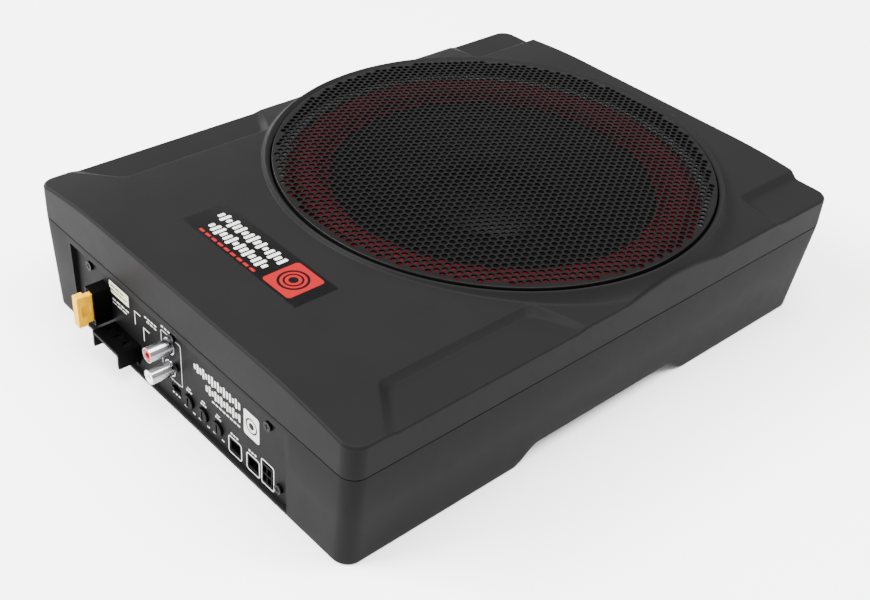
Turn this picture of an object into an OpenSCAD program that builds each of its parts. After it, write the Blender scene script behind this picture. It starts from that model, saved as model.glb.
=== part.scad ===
// Powered under-seat car subwoofer: a shallow two-part case that holds a low-profile
// driver and its amplifier. The origin is on the surface that it stands on, midway
// along its whole length; +Y points away from the control panel and +Z is up.

/* [Case] */
// Width of the case across the seat
case_w = 269; // [255:1:280]
// Length of the case, without what sticks out of its panel
case_l = 354; // [340:1:370]
// Height of the joint line between tray and cover
seam_z = 57; // [54:0.5:60]
// Height of the flat middle of the cover
top_z = 81.4; // [80:0.2:84]
// Thickness of the side walls
wall = 3; // [2.5:0.1:3.4]
// Thickness of the tray's floor
floor_t = 2.5; // [2:0.1:3]
// Corner radius in plan
corner_r = 9; // [8:1:20]
// Lean of each long side of the tray, from the joint line down
side_draft = 3.7; // [1:0.1:5]
// Lean of the panel end
front_draft = 1.2; // [0.5:0.1:2]
// Lean of the far end
rear_draft = 6.9; // [2:0.1:9]

/* [Cover] */
// Half width of the level middle of the cover
crown_flat = 60; // [40:1:80]
// Fall of the cover from its middle to its long edges
crown_drop = 6; // [4:0.1:6.4]
// Bevel round the cover's top edge
top_bevel = 2; // [1:0.5:4]
// Height of the floor of the side pockets
pocket_z = 75; // [74.4:0.1:76]
// Where the slope down into a pocket starts, from the centre line
pocket_top_x = 106.3; // [104:0.1:108]
// Where the slope meets the pocket's floor
pocket_floor_x = 110.5; // [109:0.1:114]
// Start of the front pockets
pocket_front_y = -140; // [-145:1:-130]
// How much further forward the front pockets reach at the long edges
pocket_splay = 19; // [0:1:22]
// Start of the rear pockets
pocket_rear_y = 124; // [120:1:130]

/* [Underside] */
// Height of the channel under the tray
arch_h = 9.7; // [7:0.1:10]
// Distance of each foot from the middle
arch_half = 65; // [55:1:70]
// Length of the slope at each end of the channel
arch_slope = 11; // [6:1:14]

/* [Driver] */
// Place of the driver's axis along the case
driver_y = 35.7; // [33:0.1:37]
// Outer radius of the grille
grille_r = 126.2; // [124.5:0.1:126.4]
// Rise of the grille from its edge to its middle
grille_rise = 2.3; // [1:0.1:3]
// Outer radius of the collar's top face
rim_r = 130; // [129:0.1:130.5]
// Height of the collar's top face
rim_z = 83.4; // [82:0.1:84.5]
// Middle radius of the surround's roll
roll_mid_r = 106; // [104:0.5:106]
// Radius of the surround's roll
roll_r = 9; // [8:0.5:9]
// Radius of the dust cap
cap_r = 40; // [34:1:46]
// Radius of the ring magnet
magnet_r = 60; // [56:1:64]

/* [Control panel] */
// Left end of the panel plate
panel_x0 = -103.8; // [-106:0.1:-100]
// Right end of the panel plate
panel_x1 = 86.6; // [84:0.1:88]
// Thickness of the panel plate
panel_t = 2; // [1.5:0.1:2.2]
// Radius of the control knobs
knob_r = 3.9; // [3.4:0.1:4.1]
// Spacing of the control knobs
knob_pitch = 12.8; // [12.4:0.1:13.2]
// Radius of the phono jacks' shells
jack_r = 4.15; // [4.1:0.05:4.2]
// Distance between the two phono jacks
jack_pitch = 14.2; // [14:0.1:14.6]

/* [Hidden] */
$fn = 96;
eps = 0.01;
gap = 0.3;

half_w = case_w / 2;
half_l = case_l / 2;
groove = 0.8;

// The fuse reaches furthest out of the panel end, and sets the shift that centres the whole
fuse_reach = 16;
case_shift = fuse_reach / 2;

// Levels of the driver, from its magnet up
yoke_z = 13.6;
yoke_t = 5;
magnet_z = yoke_z + yoke_t;
magnet_t = 12.5;
plate_z = magnet_z + magnet_t;
plate_t = 5;
basket_z = plate_z + plate_t;
spider_z = 45;
neck_z = 54;
ledge_z = 66;
flange_z = 67;
flange_t = 2.2;
cone_rim_z = flange_z + flange_t;
pole_r = 24.5;
former_r = 25.2;
former_t = 0.4;
coil_t = 0.9;
plate_bore_r = 27.1;
basket_neck_r = 56;
basket_throat_r = 62;
basket_rim_r = 125.4;
screw_ring_r = 121.8;
driver_screws_n = 8;
cover_bore_r = 127;
grille_skirt = 10.7;
trim_t = 2;
ledge_bore_r = 113;

// Panel and board
panel_y = wall - half_l;
panel_z0 = 2.9;
panel_z1 = 52;
panel_back = panel_y + panel_t;
board_z = 4.6;
board_t = 1.6;
board_top = board_z + board_t;
board_x0 = -96;
board_x1 = 75;
board_y0 = panel_back + 3;
board_y1 = -92;
board_hole_at = [[-70, -158], [69, -152], [-90, -98], [69, -98]];

// Places of the controls and connectors, as [x, z] on the panel
panel_screw_at = [[-88.6, 45.4], [-9.3, 46], [71.5, 45.4], [79.4, 11.3], [-88.6, 11.3]];
knob_z = 13.3;
knob_x0 = 3.4;
switch_at = [-8.4, 13.3];
jack_x = -13.6;
jack_z = 23.8;
jack_len = 12.6;
jack_collar_r = 4.9;
jack_screw_at = [-6.8, 28.4];
fuse_x = -73.2;
fuse_z = 31.8;
fuse_w = 5.1;
fuse_l = 19.1;
holder_w = 8.6;
holder_l = 21;
holder_out = 10.5;
terminal_x0 = -68;
terminal_x1 = -42;
terminal_z0 = 10.5;
terminal_z1 = 20.5;
terminal_out = 13.5;
terminal_body_out = 8;
terminal_n = 3;
socket_w = 7.6;
socket_h = 6;
remote_x = 43;
link_x = 58;
socket_z = 10.3;
speaker_in_at = [69.8, 12.4];

// Screws that hold the case together, and the inserts for mounting brackets, as [x, y]
case_screw_at = [[-119, -160], [119, -160], [-120, -72], [120, -72],
                 [-119, 159], [119, 159], [-60, 160], [60, 160]];
insert_half = 115;
insert_r = 2.5;
insert_len = 10;

// Height of the cover's top face at a distance from the centre line
function crown(x) =
    top_z - crown_drop * pow(max(0, (abs(x) - crown_flat) / (half_w - crown_flat)), 2);

// Points of an arc about [cx, cy], from angle a0 to a1 in n steps
function arc(cx, cy, r, a0, a1, n) =
    [for (i = [0 : n]) let (a = a0 + (a1 - a0) * i / n) [cx + r * cos(a), cy + r * sin(a)]];

// Height of a cone body's face at radius r, between its neck and its rim
function cone_z(r) =
    neck_z + (cone_rim_z - neck_z) * pow((r - former_r) / (roll_mid_r - roll_r - former_r), 1.15);

// Height of the grille's face at radius r
function grille_z(r) = rim_z - 0.3 + grille_rise * (1 - pow(r / grille_r, 2));

// Unit vector along v
function unit(v) = v / norm(v);

// Direction of a path at point i
function heading(path, i) =
    unit(path[min(i + 1, len(path) - 1)] - path[max(i - 1, 0)]);

// Everything of the case and its contents is drawn about the case's own middle
module in_case() {
    translate([0, case_shift, 0]) children();
}

// Everything of the driver is drawn about its own axis
module at_driver() {
    translate([0, case_shift + driver_y, 0]) children();
}

// Extrudes an outline in Y and Z across the width, from x0 to x1
module across(x0, x1) {
    translate([x0, 0, 0]) rotate([90, 0, 90]) linear_extrude(x1 - x0) children();
}

// Extrudes an outline in X and Z along the length, from y0 to y1
module along(y0, y1) {
    translate([0, y1, 0]) rotate([90, 0, 0]) linear_extrude(y1 - y0) children();
}

// A cylinder along +Y from y0 to y1, about [x, z]
module rod_y(x, z, y0, y1, r) {
    translate([x, y0, z]) rotate([-90, 0, 0]) cylinder(h = y1 - y0, r = r);
}

// A box given by its two corners
module box(low, high) {
    translate(low) cube(high - low);
}

// An upright block with round corners, centred in plan
module rounded_block(w, l, z0, z1, r) {
    box([-w / 2 + r, -l / 2, z0], [w / 2 - r, l / 2, z1]);
    box([-w / 2, -l / 2 + r, z0], [w / 2, l / 2 - r, z1]);
    for (x = [-1, 1], y = [-1, 1])
        translate([x * (w / 2 - r), y * (l / 2 - r), z0]) cylinder(h = z1 - z0, r = r);
}

// The plan of the case, drawn in by a margin
module plan(inset, z0, z1) {
    rounded_block(case_w - 2 * inset, case_l - 2 * inset, z0, z1, corner_r - inset);
}

// A flat ring about the Z axis
module ring(r_out, r_in, z0, z1) {
    difference() {
        translate([0, 0, z0]) cylinder(h = z1 - z0, r = r_out);
        translate([0, 0, z0 - 1]) cylinder(h = z1 - z0 + 2, r = r_in);
    }
}

// A round tube swept along a path of points
module tube(path, r, sides = 8) {
    rings = [for (i = [0 : len(path) - 1])
        let (d = heading(path, i),
             side = unit(cross(d, abs(d[2]) < 0.9 ? [0, 0, 1] : [1, 0, 0])),
             up = cross(side, d))
        for (k = [0 : sides - 1])
            path[i] + r * (cos(360 * k / sides) * side + sin(360 * k / sides) * up)];
    n = len(path);
    walls = [for (i = [0 : n - 2], k = [0 : sides - 1], half = [0, 1])
        let (a = i * sides + k, b = i * sides + (k + 1) % sides)
        half == 0 ? [a, b, b + sides] : [a, b + sides, a + sides]];
    ends = [[for (k = [sides - 1 : -1 : 0]) k],
            [for (k = [0 : sides - 1]) (n - 1) * sides + k]];
    polyhedron(points = rings, faces = concat(walls, ends), convexity = 6);
}

// A pan-head screw that points along +Y, its head's face at y0
module panel_screw(x, z, y0, shank_len) {
    difference() {
        union() {
            rod_y(x, z, y0, y0 + 1.6, 2.7);
            rod_y(x, z, y0 + 1.6, y0 + 1.6 + shank_len, 1.35);
        }
        box([x - 1.7, y0 - 1, z - 0.3], [x + 1.7, y0 + 0.9, z + 0.3]);
        box([x - 0.3, y0 - 1, z - 1.7], [x + 0.3, y0 + 0.9, z + 1.7]);
    }
}

// ---------- Case ----------

// The tray's outer form, or its hollow when it is drawn in by the wall
module tray_form(inset, base) {
    rise = arch_h + base;
    intersection() {
        plan(inset, -1, seam_z + (inset > 0 ? 1 : 0));
        across(-case_w, case_w) polygon([
            [-half_l + front_draft + inset, base], [-arch_half - base, base],
            [-arch_half + arch_slope - base, rise], [arch_half - arch_slope + base, rise],
            [arch_half + base, base], [half_l - rear_draft - inset, base],
            [half_l - inset, seam_z], [half_l - inset, seam_z + 2],
            [-half_l + inset, seam_z + 2], [-half_l + inset, seam_z]]);
        along(-case_l, case_l) polygon([
            [-half_w + side_draft + inset, 0], [half_w - side_draft - inset, 0],
            [half_w - inset, seam_z], [half_w - inset, seam_z + 2],
            [-half_w + inset, seam_z + 2], [-half_w + inset, seam_z]]);
    }
}

// Blocks inside the panel opening that the panel's screws bite into
module panel_bosses() {
    for (s = panel_screw_at) {
        high = s[1] > seam_z / 2;
        z0 = high ? s[1] - 2.6 : 1;
        z1 = high ? seam_z - 1.4 : s[1] + 4;
        box([s[0] - 4, panel_back, z0], [s[0] + 4, panel_back + 7, z1]);
    }
    box([panel_x0 - 3, panel_y - 0.4, panel_z1 + gap],
        [panel_x1 + 3, panel_back + 3, seam_z - 1.4]);
}

module bottom_tray() color("#2e2e30") in_case() difference() {
    union() {
        difference() {
            tray_form(0, 0);
            tray_form(wall, floor_t);
            box([panel_x0 - 0.6, -half_l - 1, panel_z0 - 0.4],
                [panel_x1 + 0.6, panel_y + wall + 2, panel_z1 + gap]);
        }
        intersection() {
            tray_form(0.5, 0);
            union() {
                panel_bosses();
                for (p = case_screw_at) translate([p[0], p[1], 0]) cylinder(h = 30, r = 6.4);
                for (x = [-1, 1], y = [-1, 1])
                    translate([x * insert_half, y * insert_half, 0]) cylinder(h = 14, r = 7);
                for (p = board_hole_at) translate([p[0], p[1], 0]) cylinder(h = board_z, r = 4);
            }
        }
    }
    // Joint line, and the channel for the seal
    difference() {
        plan(-1, seam_z - groove, seam_z + 1);
        plan(groove, seam_z - groove - 1, seam_z + 2);
    }
    difference() {
        plan(1.4, seam_z - 1.2, seam_z + 1);
        plan(2.4, seam_z - 2, seam_z + 2);
    }
    // Screw passages, with a deep recess for each head
    for (p = case_screw_at) translate([p[0], p[1], -1]) {
        cylinder(h = 19, r = 4);
        cylinder(h = 40, r = 2.1);
    }
    for (x = [-1, 1], y = [-1, 1])
        translate([x * insert_half, y * insert_half, -1]) cylinder(h = insert_len + 1, r = 4);
    for (s = panel_screw_at) rod_y(s[0], s[1], panel_back - 1, panel_back + 6, 1.35);
    for (p = board_hole_at) translate([p[0], p[1], 1.4]) cylinder(h = board_z, r = 1.2);
}

// A side pocket of the cover, or the wider form that keeps its wall's thickness
module pockets(grow) {
    far = case_w;
    reach = pocket_splay * (far - pocket_top_x) / (half_w - pocket_top_x);
    for (s = [0, 1]) mirror([s, 0, 0]) intersection() {
        along(-case_l, case_l) polygon([
            [pocket_top_x - grow, top_z + 20], [pocket_top_x - grow, crown(pocket_top_x)],
            [pocket_floor_x - grow, pocket_z - grow], [far, pocket_z - grow],
            [far, top_z + 20]]);
        union() {
            linear_extrude(top_z + 30) polygon([
                [pocket_top_x - grow, pocket_front_y - grow], [far, pocket_front_y - reach - grow],
                [far, 35 + grow], [pocket_top_x - grow, -44 + grow]]);
            box([pocket_top_x - grow, pocket_rear_y - grow, 0], [far, case_l, top_z + 30]);
        }
    }
}

// The cover's outer form, or its hollow when it is drawn in by the wall
module cover_form(inset) {
    steps = 24;
    bevel_z = crown(half_w) - top_bevel - inset;
    intersection() {
        plan(inset, seam_z - (inset > 0 ? 1 : 0), top_z + 10);
        along(-case_l, case_l) polygon(concat(
            [[-half_w + inset, seam_z - 2], [half_w - inset, seam_z - 2],
             [half_w - inset, bevel_z]],
            [for (i = [steps / 2 : -1 : -steps / 2])
                let (x = i * (half_w - inset - top_bevel) * 2 / steps) [x, crown(x) - inset]],
            [[-half_w + inset, bevel_z]]));
        across(-case_w, case_w) polygon([
            [-half_l + inset, seam_z - 2], [half_l - inset, seam_z - 2],
            [half_l - inset, top_z - 3 * top_bevel - inset],
            [half_l - inset - top_bevel, top_z + 5], [-half_l + inset + top_bevel, top_z + 5],
            [-half_l + inset, top_z - 3 * top_bevel - inset]]);
    }
}

// The raised collar round the grille, with the ledge that the driver sits on
module collar() {
    intersection() {
        translate([0, driver_y, 0]) rotate_extrude() polygon([
            [ledge_bore_r, ledge_z - 4], [rim_r + 1, ledge_z - 4], [rim_r + 1, pocket_z - 4],
            [rim_r + 9, pocket_z - 2.5], [rim_r + 9, pocket_z], [rim_r + 2.2, rim_z - 3],
            [rim_r, rim_z], [cover_bore_r, rim_z], [cover_bore_r, ledge_z],
            [ledge_bore_r, ledge_z]]);
        plan(0, 0, rim_z + 1);
    }
}

module top_cover() color("#323234") in_case() difference() {
    union() {
        difference() {
            cover_form(0);
            pockets(0);
            difference() {
                cover_form(wall);
                pockets(wall);
            }
        }
        collar();
        intersection() {
            union() {
                plan(wall + 0.5, 0, seam_z + 1);
                cover_form(0.5);
            }
            difference() {
                for (p = case_screw_at) translate([p[0], p[1], 30 + gap]) cylinder(h = 60, r = 5);
                pockets(0.5);
            }
        }
    }
    translate([0, driver_y, ledge_z]) cylinder(h = 40, r = cover_bore_r);
    translate([0, driver_y, 20]) cylinder(h = 60, r = ledge_bore_r);
    for (p = case_screw_at) translate([p[0], p[1], 29]) cylinder(h = 22, r = 1.6);
    for (i = [0 : driver_screws_n - 1]) translate([0, driver_y, 0]) rotate(22.5 + 45 * i)
        translate([screw_ring_r, 0, ledge_z - 6]) cylinder(h = 8, r = 1.4);
    box([-51, -140, top_z - 0.5], [45, -113, top_z + 5]);
}

module case_seal() color("#1a1a1a") in_case() difference() {
    plan(1.4, seam_z - 1.2, seam_z);
    plan(2.4, seam_z - 2, seam_z + 1);
}

module case_screws() color("#4a4a4d") in_case() for (p = case_screw_at)
    translate([p[0], p[1], 15]) difference() {
        union() {
            cylinder(h = 3, r = 3.6);
            cylinder(h = 33, r = 1.6);
        }
        translate([0, 0, -1]) cylinder(h = 2.6, r = 1.6, $fn = 6);
    }

module mounting_inserts() color("#b08d4a") in_case() for (x = [-1, 1], y = [-1, 1])
    translate([x * insert_half, y * insert_half, 0]) ring(4, insert_r, 0.2, insert_len);

module badge_plate() color("#151516") in_case()
    box([-50.7, -139.7, top_z - 0.5], [44.7, -113.3, top_z - 0.1]);

// ---------- Driver ----------

module grille() color("#1c1c1d") at_driver() rotate_extrude() polygon(concat(
    [for (i = [0 : 10]) let (r = grille_r * i / 10) [r, grille_z(r)]],
    [[grille_r, rim_z - grille_skirt], [grille_r - 1.2, rim_z - grille_skirt]],
    [for (i = [10 : -1 : 0]) let (r = (grille_r - 1.2) * i / 10) [r, grille_z(r) - 1.2]]));

module grille_gasket() color("#111111") at_driver()
    ring(grille_r - 0.1, 119.8, cone_rim_z + trim_t, rim_z - grille_skirt);

module driver_gasket() color("#161616") at_driver() difference() {
    ring(basket_rim_r, ledge_bore_r + 1, ledge_z, flange_z);
    for (i = [0 : driver_screws_n - 1]) rotate(22.5 + 45 * i)
        translate([screw_ring_r, 0, ledge_z - 1]) cylinder(h = 4, r = 1.8);
}

// A pressed basket: rim, sloping arms with windows, spider landing and magnet seat
module driver_basket() color("#3a3a3c") at_driver() difference() {
    rotate_extrude() polygon([
        [plate_bore_r + 1, basket_z], [basket_neck_r, basket_z],
        [basket_neck_r, spider_z - 1.5], [basket_throat_r + 2, spider_z - 1.5],
        [ledge_bore_r - 1.5, flange_z - 2.4], [ledge_bore_r - 1.5, flange_z],
        [basket_rim_r, flange_z], [basket_rim_r, cone_rim_z],
        [ledge_bore_r - 3.5, cone_rim_z], [ledge_bore_r - 3.5, flange_z - 1.2],
        [basket_throat_r + 1, spider_z], [basket_neck_r - 1.5, spider_z],
        [basket_neck_r - 1.5, basket_z + 1.5], [plate_bore_r + 1, basket_z + 1.5]]);
    for (i = [0 : 7]) rotate(45 * i)
        box([basket_throat_r + 8, -17, spider_z - 4], [ledge_bore_r - 9, 17, ledge_z + 2]);
    for (i = [0 : driver_screws_n - 1]) rotate(22.5 + 45 * i)
        translate([screw_ring_r, 0, flange_z - 1]) cylinder(h = 4, r = 1.8);
}

module driver_screws() color("#222224") at_driver()
    for (i = [0 : driver_screws_n - 1]) rotate(22.5 + 45 * i)
        translate([screw_ring_r, 0, 0]) difference() {
            union() {
                translate([0, 0, ledge_z - 3.5]) cylinder(h = 6.7, r = 1.4);
                translate([0, 0, cone_rim_z]) cylinder(h = 2, r = 2.6);
            }
            translate([-1.6, -0.3, cone_rim_z + 1.2]) cube([3.2, 0.6, 2]);
            translate([-0.3, -1.6, cone_rim_z + 1.2]) cube([0.6, 3.2, 2]);
        }

module surround_trim() color("#141414") at_driver() difference() {
    ring(basket_rim_r - 0.2, 119.8, cone_rim_z, cone_rim_z + trim_t);
    for (i = [0 : driver_screws_n - 1]) rotate(22.5 + 45 * i)
        translate([screw_ring_r, 0, cone_rim_z - 1]) cylinder(h = 4, r = 2.9);
}

module surround() color("#a81c20") at_driver() rotate_extrude() polygon(concat(
    [[roll_mid_r + roll_r + 4, cone_rim_z + eps], [roll_mid_r + roll_r + 4, cone_rim_z + 0.8]],
    arc(roll_mid_r, cone_rim_z, roll_r, 5, 175, 14),
    [[roll_mid_r - roll_r - 3, cone_rim_z + 0.8], [roll_mid_r - roll_r - 3, cone_rim_z + eps]],
    arc(roll_mid_r, cone_rim_z, roll_r - 0.8, 180, 0, 14)));

module cone() color("#262627") at_driver() {
    r0 = former_r + former_t + 0.05;
    r1 = roll_mid_r - roll_r;
    rotate_extrude() polygon(concat(
        [for (i = [0 : 12]) let (r = r0 + (r1 - r0) * i / 12) [r, cone_z(r)]],
        [for (i = [12 : -1 : 0]) let (r = r0 + (r1 - r0) * i / 12) [r, cone_z(r) - 0.8]]));
}

module dust_cap() color("#1f1f20") at_driver() rotate_extrude() polygon(concat(
    [for (i = [0 : 8]) let (r = cap_r * i / 8) [r, cone_z(cap_r) + 9 * (1 - pow(i / 8, 2)) + 0.1]],
    [for (i = [8 : -1 : 0])
        let (r = (cap_r - 0.9) * i / 8) [r, cone_z(cap_r) + 8.2 * (1 - pow(i / 8, 2)) + 0.1]]));

// Corrugated centring disc
module spider() color("#b98f4e") at_driver() {
    waves = 6;
    r0 = former_r + former_t + gap;
    r1 = basket_throat_r;
    n = 4 * waves;
    rotate_extrude() polygon(concat(
        [for (i = [0 : n]) [r0 + (r1 - r0) * i / n, spider_z + 1.6 + 0.9 * sin(90 * i)]],
        [for (i = [n : -1 : 0]) [r0 + (r1 - r0) * i / n, spider_z + 1 + 0.9 * sin(90 * i)]]));
    ring(r1, r1 - 4.4, spider_z + eps, spider_z + 1);
}

module voice_coil_former() color("#c8c9cc") at_driver()
    ring(former_r + former_t, former_r, 26, cone_z(former_r + 2));

module voice_coil_winding() color("#b5622e") at_driver()
    ring(former_r + former_t + coil_t, former_r + former_t, 27, 40);

module top_plate() color("#8d9094") at_driver()
    ring(magnet_r - 3, plate_bore_r, plate_z, basket_z);

module magnet_ring() color("#2a2a2c") at_driver() ring(magnet_r, 32, magnet_z, plate_z);

module yoke() color("#96999d") at_driver() difference() {
    union() {
        translate([0, 0, yoke_z]) cylinder(h = yoke_t, r = magnet_r - 4);
        translate([0, 0, yoke_z]) cylinder(h = basket_z - yoke_z, r = pole_r);
    }
    translate([0, 0, yoke_z - 1]) cylinder(h = 40, r = 6);
}

// Fibre strip with two solder tags on the basket's neck
module driver_terminals() at_driver() {
    color("#7a5230") box([-12, -basket_neck_r - 3, basket_z + 1.7],
                         [12, -basket_neck_r - 0.2, basket_z + 6.9]);
    for (x = [-8, 8]) color("#c9b26a")
        box([x - 1.6, -basket_neck_r - 6, basket_z + 2.9], [x + 1.6, -basket_neck_r - 3, basket_z + 3.9]);
}

// Braided leads from the solder tags, through a window of the basket, to the cone
module tinsel_leads() color("#c7a25a") at_driver() for (x = [-8, 8])
    tube([[x, -62.7, 39.6], [x, -66.5, 40.4], [x, -70, 43], [x, -71.8, 47.2], [x, -72, 52],
          [x, -71.5, 57], [x, -71.5, 60], [x, -71.5, 62.3]], 0.6);

// Two insulated wires, clear of the magnet, from the solder tags to the board
module speaker_wires() at_driver() {
    // Each point is how far the pair has moved across to its place on the board, then Y and Z
    route = [[0, -60.4, 37.5], [0.02, -64, 37.2], [0.08, -69, 35], [0.18, -75, 30],
             [0.32, -82, 23], [0.48, -90, 18.5], [0.64, -99, 16], [0.8, -108, 14.5],
             [0.92, -116, 13], [0.98, -123, 11], [1, -127.4, 9.4], [1, -128.8, 8],
             [1, -128.8, board_top + 0.04]];
    for (s = [-1, 1]) color(s > 0 ? "#a02020" : "#1c1c1c")
        tube([for (p = route) [s * 8 * (1 - p[0]) + (51 + s * 3.5) * p[0], p[1], p[2]]], 1.3);
}

// ---------- Amplifier ----------

module control_panel() color("#3b3b3d") in_case() difference() {
    box([panel_x0, panel_y, panel_z0], [panel_x1, panel_back, panel_z1]);
    for (s = panel_screw_at) rod_y(s[0], s[1], panel_y - 1, panel_back + 1, 1.6);
    for (i = [0 : 2]) rod_y(knob_x0 + i * knob_pitch, knob_z, panel_y - 1, panel_back + 1, knob_r + 0.4);
    for (i = [0, 1]) rod_y(jack_x, jack_z + i * jack_pitch, panel_y - 1, panel_back + 1, jack_collar_r + gap);
    rod_y(jack_screw_at[0], jack_screw_at[1], panel_y - 1, panel_back + 1, 1.3);
    box([switch_at[0] - 4.4, panel_y - 1, switch_at[1] - 2.2],
        [switch_at[0] + 4.4, panel_back + 1, switch_at[1] + 2.2]);
    for (x = [remote_x, link_x])
        box([x - socket_w / 2 - 1.2, panel_y - 1, socket_z - socket_h / 2 - 1.2],
            [x + socket_w / 2 + 1.2, panel_back + 1, socket_z + socket_h / 2 + 1.2]);
    box([speaker_in_at[0] - 4.2, panel_y - 1, speaker_in_at[1] - 6.6],
        [speaker_in_at[0] + 4.2, panel_back + 1, speaker_in_at[1] + 6.6]);
    box([fuse_x - holder_w / 2 - 0.2, panel_y - 1, fuse_z - holder_l / 2 - 0.2],
        [fuse_x + holder_w / 2 + 0.2, panel_back + 1, fuse_z + holder_l / 2 + 0.2]);
    box([terminal_x0 + 2, panel_y - 1, terminal_z0 + 1],
        [terminal_x1 - 2, panel_back + 1, terminal_z1 - 1]);
}

module panel_screws() color("#101011") in_case()
    for (s = panel_screw_at) panel_screw(s[0], s[1], panel_y - 1.6, 7);

module circuit_board() color("#1f5a34") in_case() difference() {
    box([board_x0, board_y0, board_z], [board_x1, board_y1, board_top]);
    for (p = board_hole_at) translate([p[0], p[1], board_z - 1]) cylinder(h = 4, r = 1.6);
    box([-93.4, board_y0 - 1, board_z - 1], [-83.8, panel_back + 8, board_top + 1]);
}

module board_screws() color("#8a8c90") in_case()
    for (p = board_hole_at)
        translate([p[0], p[1], board_top]) difference() {
            union() {
                cylinder(h = 2, r = 2.8);
                translate([0, 0, -4.6]) cylinder(h = 5, r = 1.2);
            }
            translate([-1.8, -0.3, 1]) cube([3.6, 0.6, 2]);
            translate([-0.3, -1.8, 1]) cube([0.6, 3.6, 2]);
        }

// Finned bar that takes the heat of the power transistors
module heat_sink() color("#a9acb0") in_case() {
    box([-70, -106, board_top], [40, -102, board_top + 24]);
    for (i = [0 : 10]) translate([-68 + i * 10.4, 0, 0])
        box([0, -102, board_top], [1.6, -96, board_top + 24]);
}

module power_transistors() in_case() for (i = [0 : 3]) translate([-58 + i * 26, -106, board_top]) {
    color("#1b1b1c") box([-5, -4.4, 4], [5, 0, 19]);
    for (x = [-2.54, 0, 2.54]) color("#c0c2c5") box([x - 0.4, -3, 0], [x + 0.4, -2.4, 4]);
}

module capacitors() in_case() for (i = [0 : 2]) translate([-84, -150 + i * 19, board_top]) {
    color("#24335c") cylinder(h = 30, r = 8);
    color("#b9bbbf") translate([0, 0, 30]) cylinder(h = 0.4, r = 7.2);
}

// Ring core of the power supply, with its winding
module choke_core() color("#3d4a30") in_case() translate([-42, -130, board_top + 1.6])
    ring(13, 7, 0, 9);

module choke_winding() color("#b5622e") in_case() translate([-42, -130, board_top + 1.6])
    for (i = [0 : 11]) rotate(30 * i + 15) difference() {
        box([5.4, -1, -1.5], [14.6, 1, 10.5]);
        box([6.9, -2, -eps], [13 + eps, 2, 9 + eps]);
    }

module fuse_holder() color("#121213") in_case() difference() {
    union() {
        box([fuse_x - holder_w / 2, panel_y - holder_out, fuse_z - holder_l / 2],
            [fuse_x + holder_w / 2, panel_back + 6, fuse_z + holder_l / 2]);
        box([fuse_x - 2.5, panel_back + 1, board_top], [fuse_x + 2.5, panel_back + 6, fuse_z]);
    }
    // Pocket for the fuse's body, then the two slots for its blades
    box([fuse_x - fuse_w / 2 - gap, panel_y - holder_out - 1, fuse_z - fuse_l / 2 - gap],
        [fuse_x + fuse_w / 2 + gap, panel_y - holder_out + 2.2, fuse_z + fuse_l / 2 + gap]);
    for (s = [-1, 1]) box([fuse_x - 1.8, panel_y - holder_out, fuse_z + s * 7 - 2.9],
                          [fuse_x + 1.8, panel_back + 3, fuse_z + s * 7 + 2.9]);
}

// Spring contacts that grip the fuse's blades
module fuse_contacts() color("#c9b26a") in_case() for (s = [-1, 1], k = [-1, 1])
    box([fuse_x + k * 1.2 - 0.45, panel_y - 5, fuse_z + s * 7 - 2.6],
        [fuse_x + k * 1.2 + 0.45, panel_back + 3, fuse_z + s * 7 + 2.6]);

// Blade fuse: a hollow-backed coloured body with a wider head
module fuse_body() color("#f2b21c") in_case() difference() {
    union() {
        box([fuse_x - fuse_w / 2, -half_l - fuse_reach, fuse_z - fuse_l / 2],
            [fuse_x + fuse_w / 2, -half_l - fuse_reach + 5.2, fuse_z + fuse_l / 2]);
        box([fuse_x - fuse_w / 2 + 0.6, -half_l - fuse_reach + 5, fuse_z - fuse_l / 2 + 1],
            [fuse_x + fuse_w / 2 - 0.6, panel_y - holder_out + 2, fuse_z + fuse_l / 2 - 1]);
    }
    for (s = [-1, 1]) box([fuse_x + s * 2 - 0.7, -half_l - fuse_reach + 2.4, fuse_z - 3.4],
                          [fuse_x + s * 2 + 0.7, panel_y - holder_out - 1.2, fuse_z + 3.4]);
}

module fuse_blades() color("#c9ccd0") in_case() for (s = [-1, 1])
    box([fuse_x - 0.35, panel_y - holder_out + 2, fuse_z + s * 7 - 2.4],
        [fuse_x + 0.35, panel_y + 2, fuse_z + s * 7 + 2.4]);

// Three-way screw terminal between two end walls, under a roof
module terminal_block() color("#131314") in_case() {
    w = terminal_x1 - terminal_x0;
    cell = (w - 3) / terminal_n;
    difference() {
        union() {
            box([terminal_x0, panel_y - terminal_body_out, terminal_z0],
                [terminal_x1, panel_y, terminal_z1 - 1.5]);
            box([terminal_x0, panel_y - terminal_out, terminal_z1 - 2.4],
                [terminal_x1, panel_y, terminal_z1]);
            for (x = [terminal_x0, terminal_x1 - 1.5])
                box([x, panel_y - terminal_out, terminal_z0], [x + 1.5, panel_y, terminal_z1]);
            box([terminal_x0 + 2.3, panel_y - 1, board_top],
                [terminal_x1 - 2.3, panel_back + 8, terminal_z1 - 1.3]);
        }
        box([terminal_x0 - 1, panel_y, 0], [terminal_x1 + 1, panel_back, terminal_z0 + 1.3]);
        for (i = [0 : terminal_n - 1]) {
            x = terminal_x0 + 1.5 + cell * (i + 0.5);
            box([x - 3.3, panel_y - terminal_out - 1, terminal_z0 + 1.4],
                [x + 3.3, panel_y - 0.6, terminal_z0 + 8]);
            translate([x, panel_y - 5, terminal_z0 + 5]) cylinder(h = 10, r = 2.3);
        }
    }
}

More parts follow.
